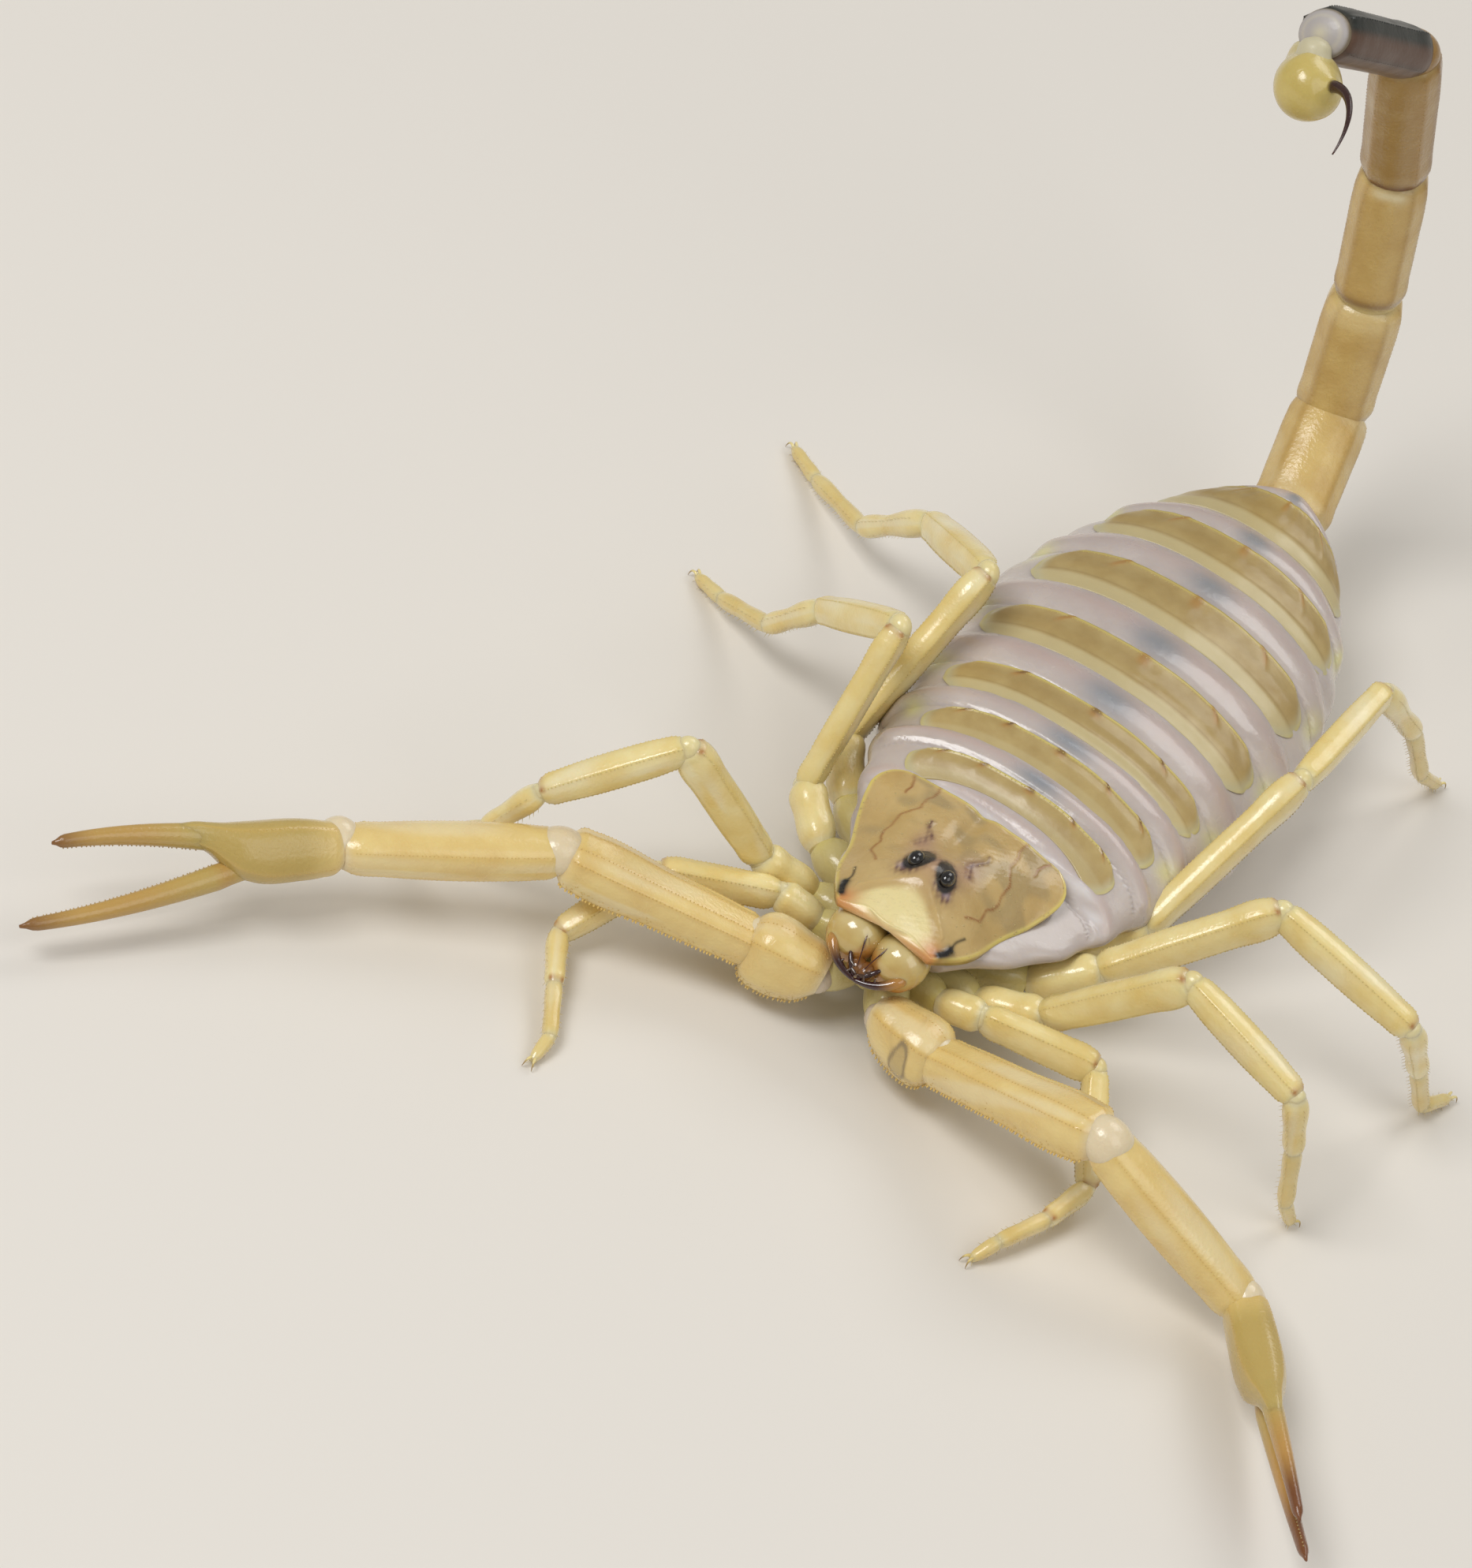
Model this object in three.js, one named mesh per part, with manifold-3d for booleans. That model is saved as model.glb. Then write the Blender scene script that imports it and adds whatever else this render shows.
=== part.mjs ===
// A desert scorpion, a swollen female carrying young, standing still at life size.
// Millimetres, +Z up. The animal faces -Y, its left side is +X, and its feet stand on Z = 0.
// Distances along Y are counted from a datum under the front edge of the head shield. The last
// step moves the whole animal so that the origin is the middle of its footprint on the floor.
import * as THREE from 'three';
import { mergeVertices } from 'three/addons/utils/BufferGeometryUtils.js';
import Module from 'manifold-3d';

const wasm = await Module();
wasm.setup();

// ---- driving dimensions ----------------------------------------------------------------------
const carapaceLength = 12.6;
// Half the width of the head shield at shares of its length, from the front edge to the rear edge.
const carapaceEdgeLine = [
  [0, 3.2], [0.1, 3.95], [0.28, 4.85], [0.48, 5.3], [0.68, 6.2], [0.8, 6.65], [0.87, 6.75], [0.93, 6.5],
  [0.97, 6], [1, 5.1],
];
const carapaceFront = -0.7;  // the front margin bulges forward of the datum
const bellyLength = 40.9;    // from the head shield to the tail
const bellyWidth = 23.3;
const tailLengths = [8.3, 9.9, 10.2, 12.4, 12.6];
const tailWidths = [5.3, 5, 4.6, 4.4, 4];
const tailNecks = [1.1, 0.9, 0.2, 0.4, 0.5];
const tailMouths = [1.1, 0.5, 0.5, 0.5, 0.5];
const jointGap = 0.12;       // clearance between two shells that meet at a joint
const plateGap = 0.12;       // clearance between a plate and the soft body under it
const plateThickness = 0.5;
const fleshGap = 0.15;       // clearance that the soft body leaves round the hard parts pressed into it

const shellYellow = 0xd2b86a;
const legYellow = 0xd0c287;
const ringYellow = 0xb9a45c;
const fleshGrey = 0xb7b0b2;
const tailTan = 0xc3a65c;
const darkTail = 0x4a4436;
const eyeBlack = 0x141210;
const jawAmber = 0xb98a3c;

const model = new THREE.Group();

// ---- small tools -------------------------------------------------------------------------------
const degrees = THREE.MathUtils.degToRad;
const lerp = THREE.MathUtils.lerp;
const smooth = (t) => THREE.MathUtils.smoothstep(t, 0, 1);

function shell(color, roughness = 0.35) {
  return new THREE.MeshStandardMaterial({ color, roughness, metalness: 0 });
}

// A named solid, put in the given group at its own place and turn.
function addPart(group, name, geometry, material, place = new THREE.Vector3(), turn = 0, rise = 0, roll = 0) {
  const mesh = new THREE.Mesh(geometry, material);
  mesh.name = name;
  mesh.position.copy(place);
  mesh.rotation.set(degrees(roll), -degrees(rise), degrees(turn), 'ZYX');
  group.add(mesh);
  return mesh;
}

// The unit direction that a turn about Z and a rise above the floor give.
function heading(turn, rise) {
  const level = Math.cos(degrees(rise));
  return new THREE.Vector3(
    level * Math.cos(degrees(turn)), level * Math.sin(degrees(turn)), Math.sin(degrees(rise)));
}

// A closed solid through rings of equal count; each ring runs anticlockwise seen from its far end.
function loft(rings) {
  const count = rings[0].length;
  const points = rings.flat();
  const faces = [];
  for (let ring = 0; ring < rings.length - 1; ring += 1) {
    for (let side = 0; side < count; side += 1) {
      const a = ring * count + side;
      const b = ring * count + (side + 1) % count;
      faces.push(a, b, b + count, a, b + count, a + count);
    }
  }
  const capEnd = (start, outward) => {
    const centre = new THREE.Vector3();
    for (let side = 0; side < count; side += 1) centre.addScaledVector(points[start + side], 1 / count);
    points.push(centre);
    for (let side = 0; side < count; side += 1) {
      const a = start + side;
      const b = start + (side + 1) % count;
      faces.push(points.length - 1, ...(outward ? [a, b] : [b, a]));
    }
  };
  capEnd(0, false);
  capEnd((rings.length - 1) * count, true);
  const geometry = new THREE.BufferGeometry().setFromPoints(points);
  geometry.setIndex(faces);
  return geometry;
}

// A closed slab between an upper and a lower sheet of points, rows along +Y and columns along +X.
function slab(upper, lower, columns, rows) {
  const faces = [];
  const layer = (columns + 1) * (rows + 1);
  const at = (row, column) => row * (columns + 1) + column;
  for (let row = 0; row < rows; row += 1) {
    for (let column = 0; column < columns; column += 1) {
      const [a, b] = [at(row, column), at(row, column + 1)];
      const [d, c] = [at(row + 1, column), at(row + 1, column + 1)];
      faces.push(a, b, c, a, c, d);
      faces.push(layer + a, layer + c, layer + b, layer + a, layer + d, layer + c);
    }
  }
  const wall = (a, b) => faces.push(a, layer + a, layer + b, a, layer + b, b);
  for (let column = 0; column < columns; column += 1) {
    wall(at(0, column), at(0, column + 1));
    wall(at(rows, column + 1), at(rows, column));
  }
  for (let row = 0; row < rows; row += 1) {
    wall(at(row + 1, 0), at(row, 0));
    wall(at(row, columns), at(row + 1, columns));
  }
  const geometry = new THREE.BufferGeometry().setFromPoints([...upper, ...lower]);
  geometry.setIndex(faces);
  return geometry;
}

// A ring in the upright XZ plane of a limb: centre (x, z), square to a heading that rises by rise.
// Keels are given as a function of the angle that scales the radius; 1 is a plain oval.
function limbRing(x, z, rise, width, depth, sides = 8, keel = () => 1) {
  const lean = degrees(rise);
  return Array.from({ length: sides }, (_, side) => {
    const angle = (side + 0.5) * 2 * Math.PI / sides;
    const across = Math.cos(angle) * width / 2 * keel(angle);
    const up = Math.sin(angle) * depth / 2 * keel(angle);
    return new THREE.Vector3(x - Math.sin(lean) * up, across, z + Math.cos(lean) * up);
  });
}

// A straight shell along +X with a narrow neck, a swelling and a flared mouth.
// stations: [share of the length, width, depth, optional lift of the centre].
function straightShell(length, neck, mouth, stations, sides = 8, keel = () => 1) {
  const rings = stations.map(([share, width, depth, lift = 0]) => limbRing(
    lerp(neck, length - mouth, share), lift, 0, width, depth, sides, keel));
  return loft(rings);
}

function toManifold(geometry) {
  const bare = geometry.clone();
  bare.deleteAttribute('normal');
  bare.deleteAttribute('uv');
  const merged = mergeVertices(bare, 1e-4);
  return new wasm.Manifold(new wasm.Mesh({
    numProp: 3,
    vertProperties: new Float32Array(merged.attributes.position.array),
    triVerts: new Uint32Array(merged.index.array),
  }));
}

function fromManifold(solid) {
  const { vertProperties, triVerts } = solid.getMesh();
  const geometry = new THREE.BufferGeometry();
  geometry.setAttribute('position', new THREE.BufferAttribute(vertProperties, 3));
  geometry.setIndex(new THREE.BufferAttribute(triVerts, 1));
  return geometry;
}

// ---- head shield -------------------------------------------------------------------------------
// (across, along) run -1..1 over the width and 0..1 from the front edge to the rear edge.
const ridgeHeight = { front: 9.6, rear: 9.9, arch: 0.5 };
const eyeHill = { y: 4.3, height: 1, reach: 1.7 };
const carapaceUnderside = 8.5;
const carapaceEdge = 0.7;

function carapaceHalfWidth(along) {
  const next = Math.max(1, carapaceEdgeLine.findIndex(([share]) => share >= Math.min(along, 1)));
  const [[start, before], [end, after]] = carapaceEdgeLine.slice(next - 1, next + 1);
  return lerp(before, after, (along - start) / (end - start));
}

function carapacePoint(across, along, grow = 0) {
  const halfWidth = carapaceHalfWidth(along) + grow;
  const bulge = 0.3 * across * across * (1 - along);
  const y = carapaceFront + lerp(-grow, carapaceLength + grow, along) + bulge;
  const arch = Math.sin(Math.PI * along);
  const ridge = lerp(ridgeHeight.front, ridgeHeight.rear, along) + ridgeHeight.arch * arch;
  const drop = (0.45 + 2 * arch) * Math.pow(Math.abs(across), 2.4);
  const fromHill = Math.hypot(across * halfWidth, y - eyeHill.y) / eyeHill.reach;
  const hill = eyeHill.height * Math.exp(-fromHill * fromHill);
  const furrow = 0.28 * Math.exp(-Math.pow(across * halfWidth / 0.6, 2)) * smooth((along - 0.5) * 4);
  return new THREE.Vector3(across * halfWidth, y, ridge - drop + hill - furrow + grow);
}

function carapaceSolid(grow = 0, columns = 12, rows = 12) {
  const upper = [];
  const lower = [];
  for (let row = 0; row <= rows; row += 1) {
    for (let column = 0; column <= columns; column += 1) {
      const point = carapacePoint(column / columns * 2 - 1, row / rows, grow);
      const edge = point.z - grow - carapaceEdge;
      upper.push(point);
      lower.push(new THREE.Vector3(point.x * 0.97, point.y, Math.min(edge, carapaceUnderside) - grow));
    }
  }
  return slab(upper, lower, columns, rows);
}

// The two eyes on the hill are domes sunk in the shield; the shield is cut clear of them.
const eyeRadius = 0.62;
const eyeSpread = 0.9;

function eyeSolid(radius) {
  const ball = new THREE.SphereGeometry(radius, 10, 7);
  ball.scale(0.8, 1, 0.85);
  return toManifold(ball);
}

function eyePlace(side) {
  const along = (eyeHill.y - carapaceFront) / carapaceLength;
  const top = carapacePoint(side * eyeSpread / carapaceHalfWidth(along), along);
  return new THREE.Vector3(side * eyeSpread, eyeHill.y - 0.1, top.z + 0.12);
}

let carapace = toManifold(carapaceSolid());
for (const [side, name] of [[1, 'eye_left'], [-1, 'eye_right']]) {
  const place = eyePlace(side);
  carapace = carapace.subtract(eyeSolid(eyeRadius + 0.06).translate(place.x, place.y, place.z));
  const eye = fromManifold(eyeSolid(eyeRadius).translate(place.x, place.y, place.z));
  addPart(model, name, eye, shell(eyeBlack, 0.05));
}
addPart(model, 'carapace', fromManifold(carapace), shell(shellYellow, 0.2));

// ---- soft body: its sections ----------------------------------------------------------------
// The body's half width, top and bottom at a distance y behind the datum.
const bodyFront = 1.8;
const bodyRear = carapaceFront + carapaceLength + bellyLength;
const bellyMiddle = 29;
const neckTop = 8.1;
const neckBottom = 5.9;
const bellyFloor = 1;

function bodySection(y) {
  const front = y < bellyMiddle;
  const away = Math.abs(y - bellyMiddle) / (front ? 30 : 24.4);
  const halfWidth = bellyWidth / 2 * Math.pow(1 - away * away, front ? 0.69 : 0.6);
  const behindHead = Math.max(0, y - 11.5);
  const behindMiddle = Math.max(0, y - bellyMiddle) / (bodyRear - bellyMiddle);
  const top = neckTop + 3.3 * (1 - Math.exp(-behindHead / 4)) - 0.9 * behindMiddle * behindMiddle;
  const bottom = lerp(neckBottom, bellyFloor, smooth(behindHead / 8)) + 4.4 * Math.pow(behindMiddle, 2.2);
  return { halfWidth, top, bottom };
}

// A point on the body's surface; angle 0 is the left side, 90 degrees the back; grow moves it out.
function bodyPoint(y, angle, grow = 0) {
  const { halfWidth, top, bottom } = bodySection(y);
  const middle = lerp(bottom, top, 0.48);
  const up = Math.sin(angle) > 0 ? top - middle : middle - bottom;
  const power = 2 / 2.25;
  const across = Math.sign(Math.cos(angle)) * Math.pow(Math.abs(Math.cos(angle)), power);
  const raise = Math.sign(Math.sin(angle)) * Math.pow(Math.abs(Math.sin(angle)), power);
  const lean = 1.1 * smooth((y - 2) / 6);
  return new THREE.Vector3((halfWidth + grow) * across + lean, y, middle + (up + grow) * raise);
}

// Seen from behind, a ring has to run anticlockwise about +Y.
const bodySides = 18;
const bodySteps = 15;
const bodyRings = Array.from({ length: bodySteps + 1 }, (_, step) => {
  const y = lerp(bodyFront, bodyRear, 0.5 - 0.5 * Math.cos(Math.PI * step / bodySteps));
  return Array.from({ length: bodySides }, (__, side) => (
    bodyPoint(y, Math.PI - side * 2 * Math.PI / bodySides)));
});

// ---- back plates and belly plates ---------------------------------------------------------------
// A plate hugs the body between two distances and two angles, over a gap, with closed edges.
function plateSolid(front, rear, reach, middleAngle, columns, rows, crown = 0) {
  const sheets = [plateGap, plateGap + plateThickness].map((grow) => {
    const sheet = [];
    for (let row = 0; row <= rows; row += 1) {
      for (let column = 0; column <= columns; column += 1) {
        const across = column / columns * 2 - 1;
        const rounded = 1 - 0.08 * Math.pow(Math.abs(row / rows * 2 - 1), 3);
        const angle = middleAngle - across * reach * rounded;
        sheet.push(bodyPoint(lerp(front, rear, row / rows) - crown * across * across, angle, grow));
      }
    }
    return sheet;
  });
  return slab(sheets[1], sheets[0], columns, rows);
}

// Each back plate: where it starts and ends on the midline, and how far down the side it reaches, in degrees.
const backPlates = [
  { from: 14, to: 15.4, reach: 48 },
  { from: 17, to: 19, reach: 50 },
  { from: 20.9, to: 23.5, reach: 52 },
  { from: 26.6, to: 30.1, reach: 54 },
  { from: 33.5, to: 37.6, reach: 56 },
  { from: 40.8, to: 44.6, reach: 60 },
  { from: 46.9, to: 51.2, reach: 68 },
];
backPlates.forEach(({ from, to, reach }, index) => {
  const solid = plateSolid(from, to, degrees(reach), Math.PI / 2, 10, 2, 0.9);
  addPart(model, `back_plate_${index + 1}`, solid, shell(ringYellow));
});

const bellyPlates = [
  { from: 22, to: 28.4, reach: 46 },
  { from: 29.2, to: 35.4, reach: 46 },
  { from: 36.2, to: 42.2, reach: 48 },
  { from: 43, to: 50.4, reach: 54 },
];
bellyPlates.forEach(({ from, to, reach }, index) => {
  const solid = plateSolid(from, to, degrees(reach), -Math.PI / 2, 8, 2);
  addPart(model, `belly_plate_${index + 1}`, solid, shell(legYellow));
});

// ---- hip plates under the head -------------------------------------------------------------------
// Where each leg's hip ends, on the left side; the right side mirrors it.
const hips = [
  { end: new THREE.Vector3(4.4, 1.9, 4.7), inner: new THREE.Vector3(0.9, 3, 4), width: 2.1 },
  { end: new THREE.Vector3(5.9, 4, 4.3), inner: new THREE.Vector3(0.9, 4.4, 3.8), width: 2.3 },
  { end: new THREE.Vector3(7.4, 8, 4.1), inner: new THREE.Vector3(1, 6.8, 3.6), width: 2.7 },
  { end: new THREE.Vector3(8.2, 12.6, 4.1), inner: new THREE.Vector3(1.1, 9, 3.6), width: 2.9 },
];
const clawHip = {
  end: new THREE.Vector3(2.5, -1.2, 3.9), inner: new THREE.Vector3(0.9, 1.8, 4.3), width: 2.6,
};

function hipSolid({ end, inner, width }, side, depth) {
  const mirrored = new THREE.Vector3(side, 1, 1);
  const root = inner.clone().multiply(mirrored);
  const along = end.clone().multiply(mirrored).sub(root);
  const length = along.length();
  const rings = [[0, 0.75], [0.55, 1], [1, 0.7]].map(([share, swell]) => limbRing(
    share * (length - jointGap), 0, 0, width * swell, depth * swell, 6));
  const place = new THREE.Matrix4().makeRotationFromEuler(
    new THREE.Euler(0, -Math.asin(along.z / length), Math.atan2(along.y, along.x), 'ZYX'));
  return toManifold(loft(rings).applyMatrix4(place.setPosition(root)));
}

const breastRings = [[0.6, 1.5, 1.6], [3, 2, 2.2], [9, 2.4, 2.4], [11, 1.6, 1.8]].map(
  ([y, width, depth]) => limbRing(y, 0, 0, width, depth));
const breast = new THREE.Matrix4().makeRotationZ(Math.PI / 2).setPosition(0, 0, 4.2);
let hipPlates = toManifold(loft(breastRings).applyMatrix4(breast));
for (const side of [1, -1]) {
  for (const hip of hips) hipPlates = hipPlates.add(hipSolid(hip, side, 2.5));
  hipPlates = hipPlates.add(hipSolid(clawHip, side, 2.9));
}
addPart(model, 'hip_plates', fromManifold(hipPlates), shell(legYellow));

// ---- jaws ----------------------------------------------------------------------------------------
// Each jaw is a round bulb under the front edge of the shield, ending in a short hooked finger.
const jawPlace = new THREE.Vector3(1.48, 1.65, 7.1);
for (const [side, name] of [[1, 'jaw_left'], [-1, 'jaw_right']]) {
  const rings = [
    limbRing(0, 0, -6, 1.8, 1.8), limbRing(0.5, 0, -6, 2.5, 2.4), limbRing(1.5, -0.05, -8, 2.8, 2.6),
    limbRing(2.4, -0.15, -14, 2.7, 2.5), limbRing(3, -0.45, -32, 2, 1.9), limbRing(3.4, -0.95, -56, 1.2, 1.1),
    limbRing(3.5, -1.4, -80, 0.6, 0.5),
  ];
  const place = new THREE.Vector3(side * jawPlace.x, jawPlace.y, jawPlace.z);
  addPart(model, name, loft(rings), shell(jawAmber, 0.12), place, -90 + side * 2);
}

// ---- combs under the body ------------------------------------------------------------------------
// Each comb is a bar with a row of teeth along its rear edge.
const comb = { length: 8.6, width: 1.3, thickness: 0.6, teeth: 13, toothLength: 1.3 };
function combSolid() {
  const outline = new THREE.Shape();
  outline.moveTo(0, 0);
  outline.lineTo(comb.length, -0.3);
  const pitch = (comb.length - 0.8) / comb.teeth;
  for (let tooth = 0; tooth < comb.teeth; tooth += 1) {
    const start = comb.length - tooth * pitch;
    outline.lineTo(start, comb.width + comb.toothLength);
    outline.lineTo(start - pitch * 0.72, comb.width + comb.toothLength);
    outline.lineTo(start - pitch * 0.86, comb.width);
  }
  outline.lineTo(0, comb.width);
  return new THREE.ExtrudeGeometry(outline, { depth: comb.thickness, bevelEnabled: false });
}
for (const [side, name] of [[1, 'comb_left'], [-1, 'comb_right']]) {
  const swing = new THREE.Matrix4().makeRotationFromEuler(new THREE.Euler(0, -0.08, 0.34, 'ZYX'));
  swing.setPosition(1.1, 11.8, 1.3);
  const solid = toManifold(combSolid().applyMatrix4(swing));
  addPart(model, name, fromManifold(side > 0 ? solid : solid.mirror([1, 0, 0])), shell(legYellow));
}

// ---- tail ----------------------------------------------------------------------------------------
const tailBase = new THREE.Vector3(1.1, bodyRear + 0.1, 8);
const tailTurns = [{ turn: 105, rise: 33 }, { turn: 220, rise: 82 }, { turn: 213, rise: 78 },
  { turn: 253, rise: 65 }, { turn: 255, rise: 26 }];

// Ten keels run along the first four rings of the tail: the radius rises at each of them.
const tailKeel = (angle) => 1 + 0.045 * Math.cos(10 * (angle - Math.PI / 10));

function tailRing(length, width, neck, mouth, depthShare) {
  const stations = [
    [0, 0.56, 0.54], [0.06, 0.8, 0.8], [0.16, 0.92, 0.93], [0.55, 0.97, 1], [0.9, 1.02, 1.04], [1, 0.9, 0.9],
  ].map(([share, across, deep]) => [share, width * across, width * depthShare * deep]);
  return straightShell(length, neck, mouth, stations, 10, tailKeel);
}

const joint = tailBase.clone();
let ahead = heading(tailTurns[0].turn, tailTurns[0].rise);
let back = new THREE.Vector3(0, 0, 1).addScaledVector(ahead, -ahead.z).normalize();
tailTurns.forEach(({ turn, rise }, index) => {
  const next = heading(turn, rise);
  back = back.applyQuaternion(new THREE.Quaternion().setFromUnitVectors(ahead, next)).normalize();
  ahead = next;
  const last = index === tailTurns.length - 1;
  const solid = tailRing(tailLengths[index], tailWidths[index], tailNecks[index], tailMouths[index],
    last ? 0.85 : 0.92);
  const mesh = addPart(model, `tail_${index + 1}`, solid, shell(last ? darkTail : tailTan), joint);
  const leftward = back.clone().cross(ahead);
  mesh.setRotationFromMatrix(new THREE.Matrix4().makeBasis(ahead, leftward, back));
  joint.addScaledVector(ahead, tailLengths[index]);
});

// The sting is folded back under the last ring. Its own +X runs through the bulb to the point,
// its own +Z is the side that the point curves towards, and its origin is the middle of the bulb.
const stingHeading = heading(-25, 38);
const stingBelly = new THREE.Vector3(0.14, -0.79, -0.59);
stingBelly.addScaledVector(stingHeading, -stingBelly.dot(stingHeading)).normalize();
const bulb = { width: 4.3, depth: 4.2 };
const bulbRings = [
  { x: -1.35, z: -1.75, rise: 55, swell: 0.3 }, { x: -1.1, z: -1.35, rise: 55, swell: 0.5 },
  { x: -0.6, z: -0.6, rise: 45, swell: 0.86 }, { x: 0.1, z: -0.05, rise: 20, swell: 1 },
  { x: 1, z: 0, rise: 0, swell: 0.86 }, { x: 1.75, z: -0.1, rise: -8, swell: 0.52 },
];
const stingRings = bulbRings.map(({ x, z, rise, swell }) => limbRing(
  x, z, rise, bulb.width * swell, bulb.depth * swell, 10));
const point = { x: 2.2, z: -0.15, length: 5.1, bend: 114, base: 1.15, tip: 0.5 };
const pointSteps = 6;
for (let step = 0; step <= pointSteps; step += 1) {
  const t = step / pointSteps;
  const half = degrees(point.bend * t / 2);
  const thick = lerp(point.base, point.tip, t);
  stingRings.push(limbRing(point.x + point.length * t * Math.cos(half),
    point.z + point.length * t * Math.sin(half), point.bend * t, thick, thick, 10));
}
const stingPlace = joint.clone().add(new THREE.Vector3(0.94, -2.31, -2.2));
const sting = addPart(model, 'sting', loft(stingRings), shell(0xcdbb66, 0.15), stingPlace);
sting.setRotationFromMatrix(
  new THREE.Matrix4().makeBasis(stingHeading, stingBelly.clone().cross(stingHeading), stingBelly));

// ---- claw arms -----------------------------------------------------------------------------------
// Every joint of an arm: the turn about Z and the rise of the shell that starts there.
const armLengths = { hip: 3.8, upper: 12.6, fore: 13.3, hand: 7.2 };
const finger = { fixed: 10.2, moving: 12.8, width: 1.35, depth: 1.65 };
const arms = {
  left: { side: 1, hip: [-10, 5], upper: [-15, 23], fore: [7, -28], hand: [-54, 5], roll: 18, open: -6 },
  right: { side: -1, hip: [192, 4], upper: [204, 11], fore: [220, -6], hand: [230, 0], roll: 45, open: 11 },
};
const fingerRoot = 0.85;
const armKeel = (angle) => 1 + 0.05 * Math.cos(5 * (angle - Math.PI / 2));

// The height of a finger's middle line above its root at a share t of its length.
const fingerArch = (t) => 0.55 * Math.sin(Math.PI * 0.62 * t) - 0.45 * t * t;

function handSolid() {
  const { hand } = armLengths;
  const rings = [
    limbRing(0.2, 0, 0, 1.5, 1.6, 10), limbRing(1, 0, 0, 2.4, 2.8, 10), limbRing(2.6, 0, 0, 2.9, 3.5, 10),
    limbRing(hand - 2, 0.05, 0, 2.8, 3.4, 10), limbRing(hand - 0.8, 0.45, 4, 2.3, 2.6, 10),
    limbRing(hand + 0.4, fingerRoot, 4, finger.width * 1.25, finger.depth * 1.1, 10),
  ];
  const steps = 5;
  for (let step = 1; step <= steps; step += 1) {
    const t = step / steps;
    const thin = lerp(1, 0.36, t);
    rings.push(limbRing(hand + 0.4 + (finger.fixed - 0.4) * t, fingerRoot + fingerArch(t), 10 - 26 * t,
      finger.width * thin, finger.depth * thin, 10));
  }
  return loft(rings);
}

function movingFingerSolid() {
  const rings = [limbRing(0, 0, 0, 1, 0.9, 10)];
  const steps = 6;
  for (let step = 0; step <= steps; step += 1) {
    const t = step / steps;
    const thin = lerp(1, 0.36, t);
    rings.push(limbRing(0.8 + (finger.moving - 0.8) * t, -fingerArch(t), -10 + 26 * t,
      finger.width * thin, finger.depth * thin, 10));
  }
  return loft(rings);
}

for (const [label, arm] of Object.entries(arms)) {
  const place = new THREE.Vector3(arm.side * clawHip.end.x, clawHip.end.y, clawHip.end.z);
  const material = shell(shellYellow, 0.3);
  const hipShell = straightShell(armLengths.hip, 0.7, 0.5,
    [[0, 1.8, 2.2], [0.3, 3.1, 4.1], [0.75, 3.3, 4.4], [1, 2.6, 3.2]], 8, armKeel);
  addPart(model, `arm_${label}_hip`, hipShell, material, place, ...arm.hip);
  place.addScaledVector(heading(...arm.hip), armLengths.hip);
  const upperShell = straightShell(armLengths.upper, 0.3, 0.9,
    [[0, 1.6, 1.7], [0.1, 2.8, 2.6], [0.5, 3.2, 2.8], [0.92, 3.4, 3], [1, 2.7, 2.4]], 10, armKeel);
  addPart(model, `arm_${label}_upper`, upperShell, material, place, ...arm.upper);
  place.addScaledVector(heading(...arm.upper), armLengths.upper);
  const foreShell = straightShell(armLengths.fore, 0.4, 0.75,
    [[0, 1.5, 1.5], [0.09, 2.7, 2.6], [0.3, 3.3, 3], [0.85, 3, 2.8], [1, 2.2, 2.2]], 10, armKeel);
  addPart(model, `arm_${label}_fore`, foreShell, material, place, ...arm.fore);
  place.addScaledVector(heading(...arm.fore), armLengths.fore);
  const hand = new THREE.Group();
  hand.position.copy(place);
  hand.rotation.set(degrees(arm.roll), -degrees(arm.hand[1]), degrees(arm.hand[0]), 'ZYX');
  model.add(hand);
  addPart(hand, `arm_${label}_hand`, handSolid(), material);
  const hinge = new THREE.Vector3(armLengths.hand - 0.35, 0, -1.2);
  addPart(hand, `arm_${label}_finger`, movingFingerSolid(), material, hinge, 0, -arm.open);
}

// ---- legs ----------------------------------------------------------------------------------------
// Lengths, front pair first: hip ring, thigh, knee shell, shin, long foot, short foot.
const legLengths = [
  [2.6, 7.3, 7, 3.9, 3.7, 2.2],
  [4.1, 10.2, 8.9, 5, 5, 3],
  [4.2, 11.4, 10.2, 6.4, 5.2, 3.2],
  [4.4, 13, 10.7, 8.8, 6.6, 3.8],
];
const legGirths = [0.92, 0.97, 1, 1.04];
// The turn and rise of each length but the last, and the turn of the toe.
const legStances = {
  left: [
    { ways: [[4, 14], [11, 2], [-53, -34], [-101, -4], [-111, -3]], toe: -115 },
    { ways: [[8, 21], [9, 48], [-12, -8], [46, -70], [46, -74]], toe: 61 },
    { ways: [[36, 26], [37, 37], [-1, -11], [70, -57], [70, -59]], toe: 70 },
    { ways: [[47, 25], [75, 36], [88, 3], [71, -45], [71, -56]], toe: 71 },
  ],
  right: [
    { ways: [[-168, 14], [-151, -5], [-114, -25], [-60, -5], [-60, -8]], toe: -88 },
    { ways: [[-149, 28], [-146, 48], [-141, -33], [-168, -64], [-168, -40]], toe: -168 },
    { ways: [[137, 12], [89, 65], [140, -40], [149, -54], [149, -27]], toe: 149 },
    { ways: [[125, 14], [79, 46], [131, -28], [142, -47], [142, -18]], toe: 142 },
  ],
};
const toe = { depth: 0.9, length: 0.7 };

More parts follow.
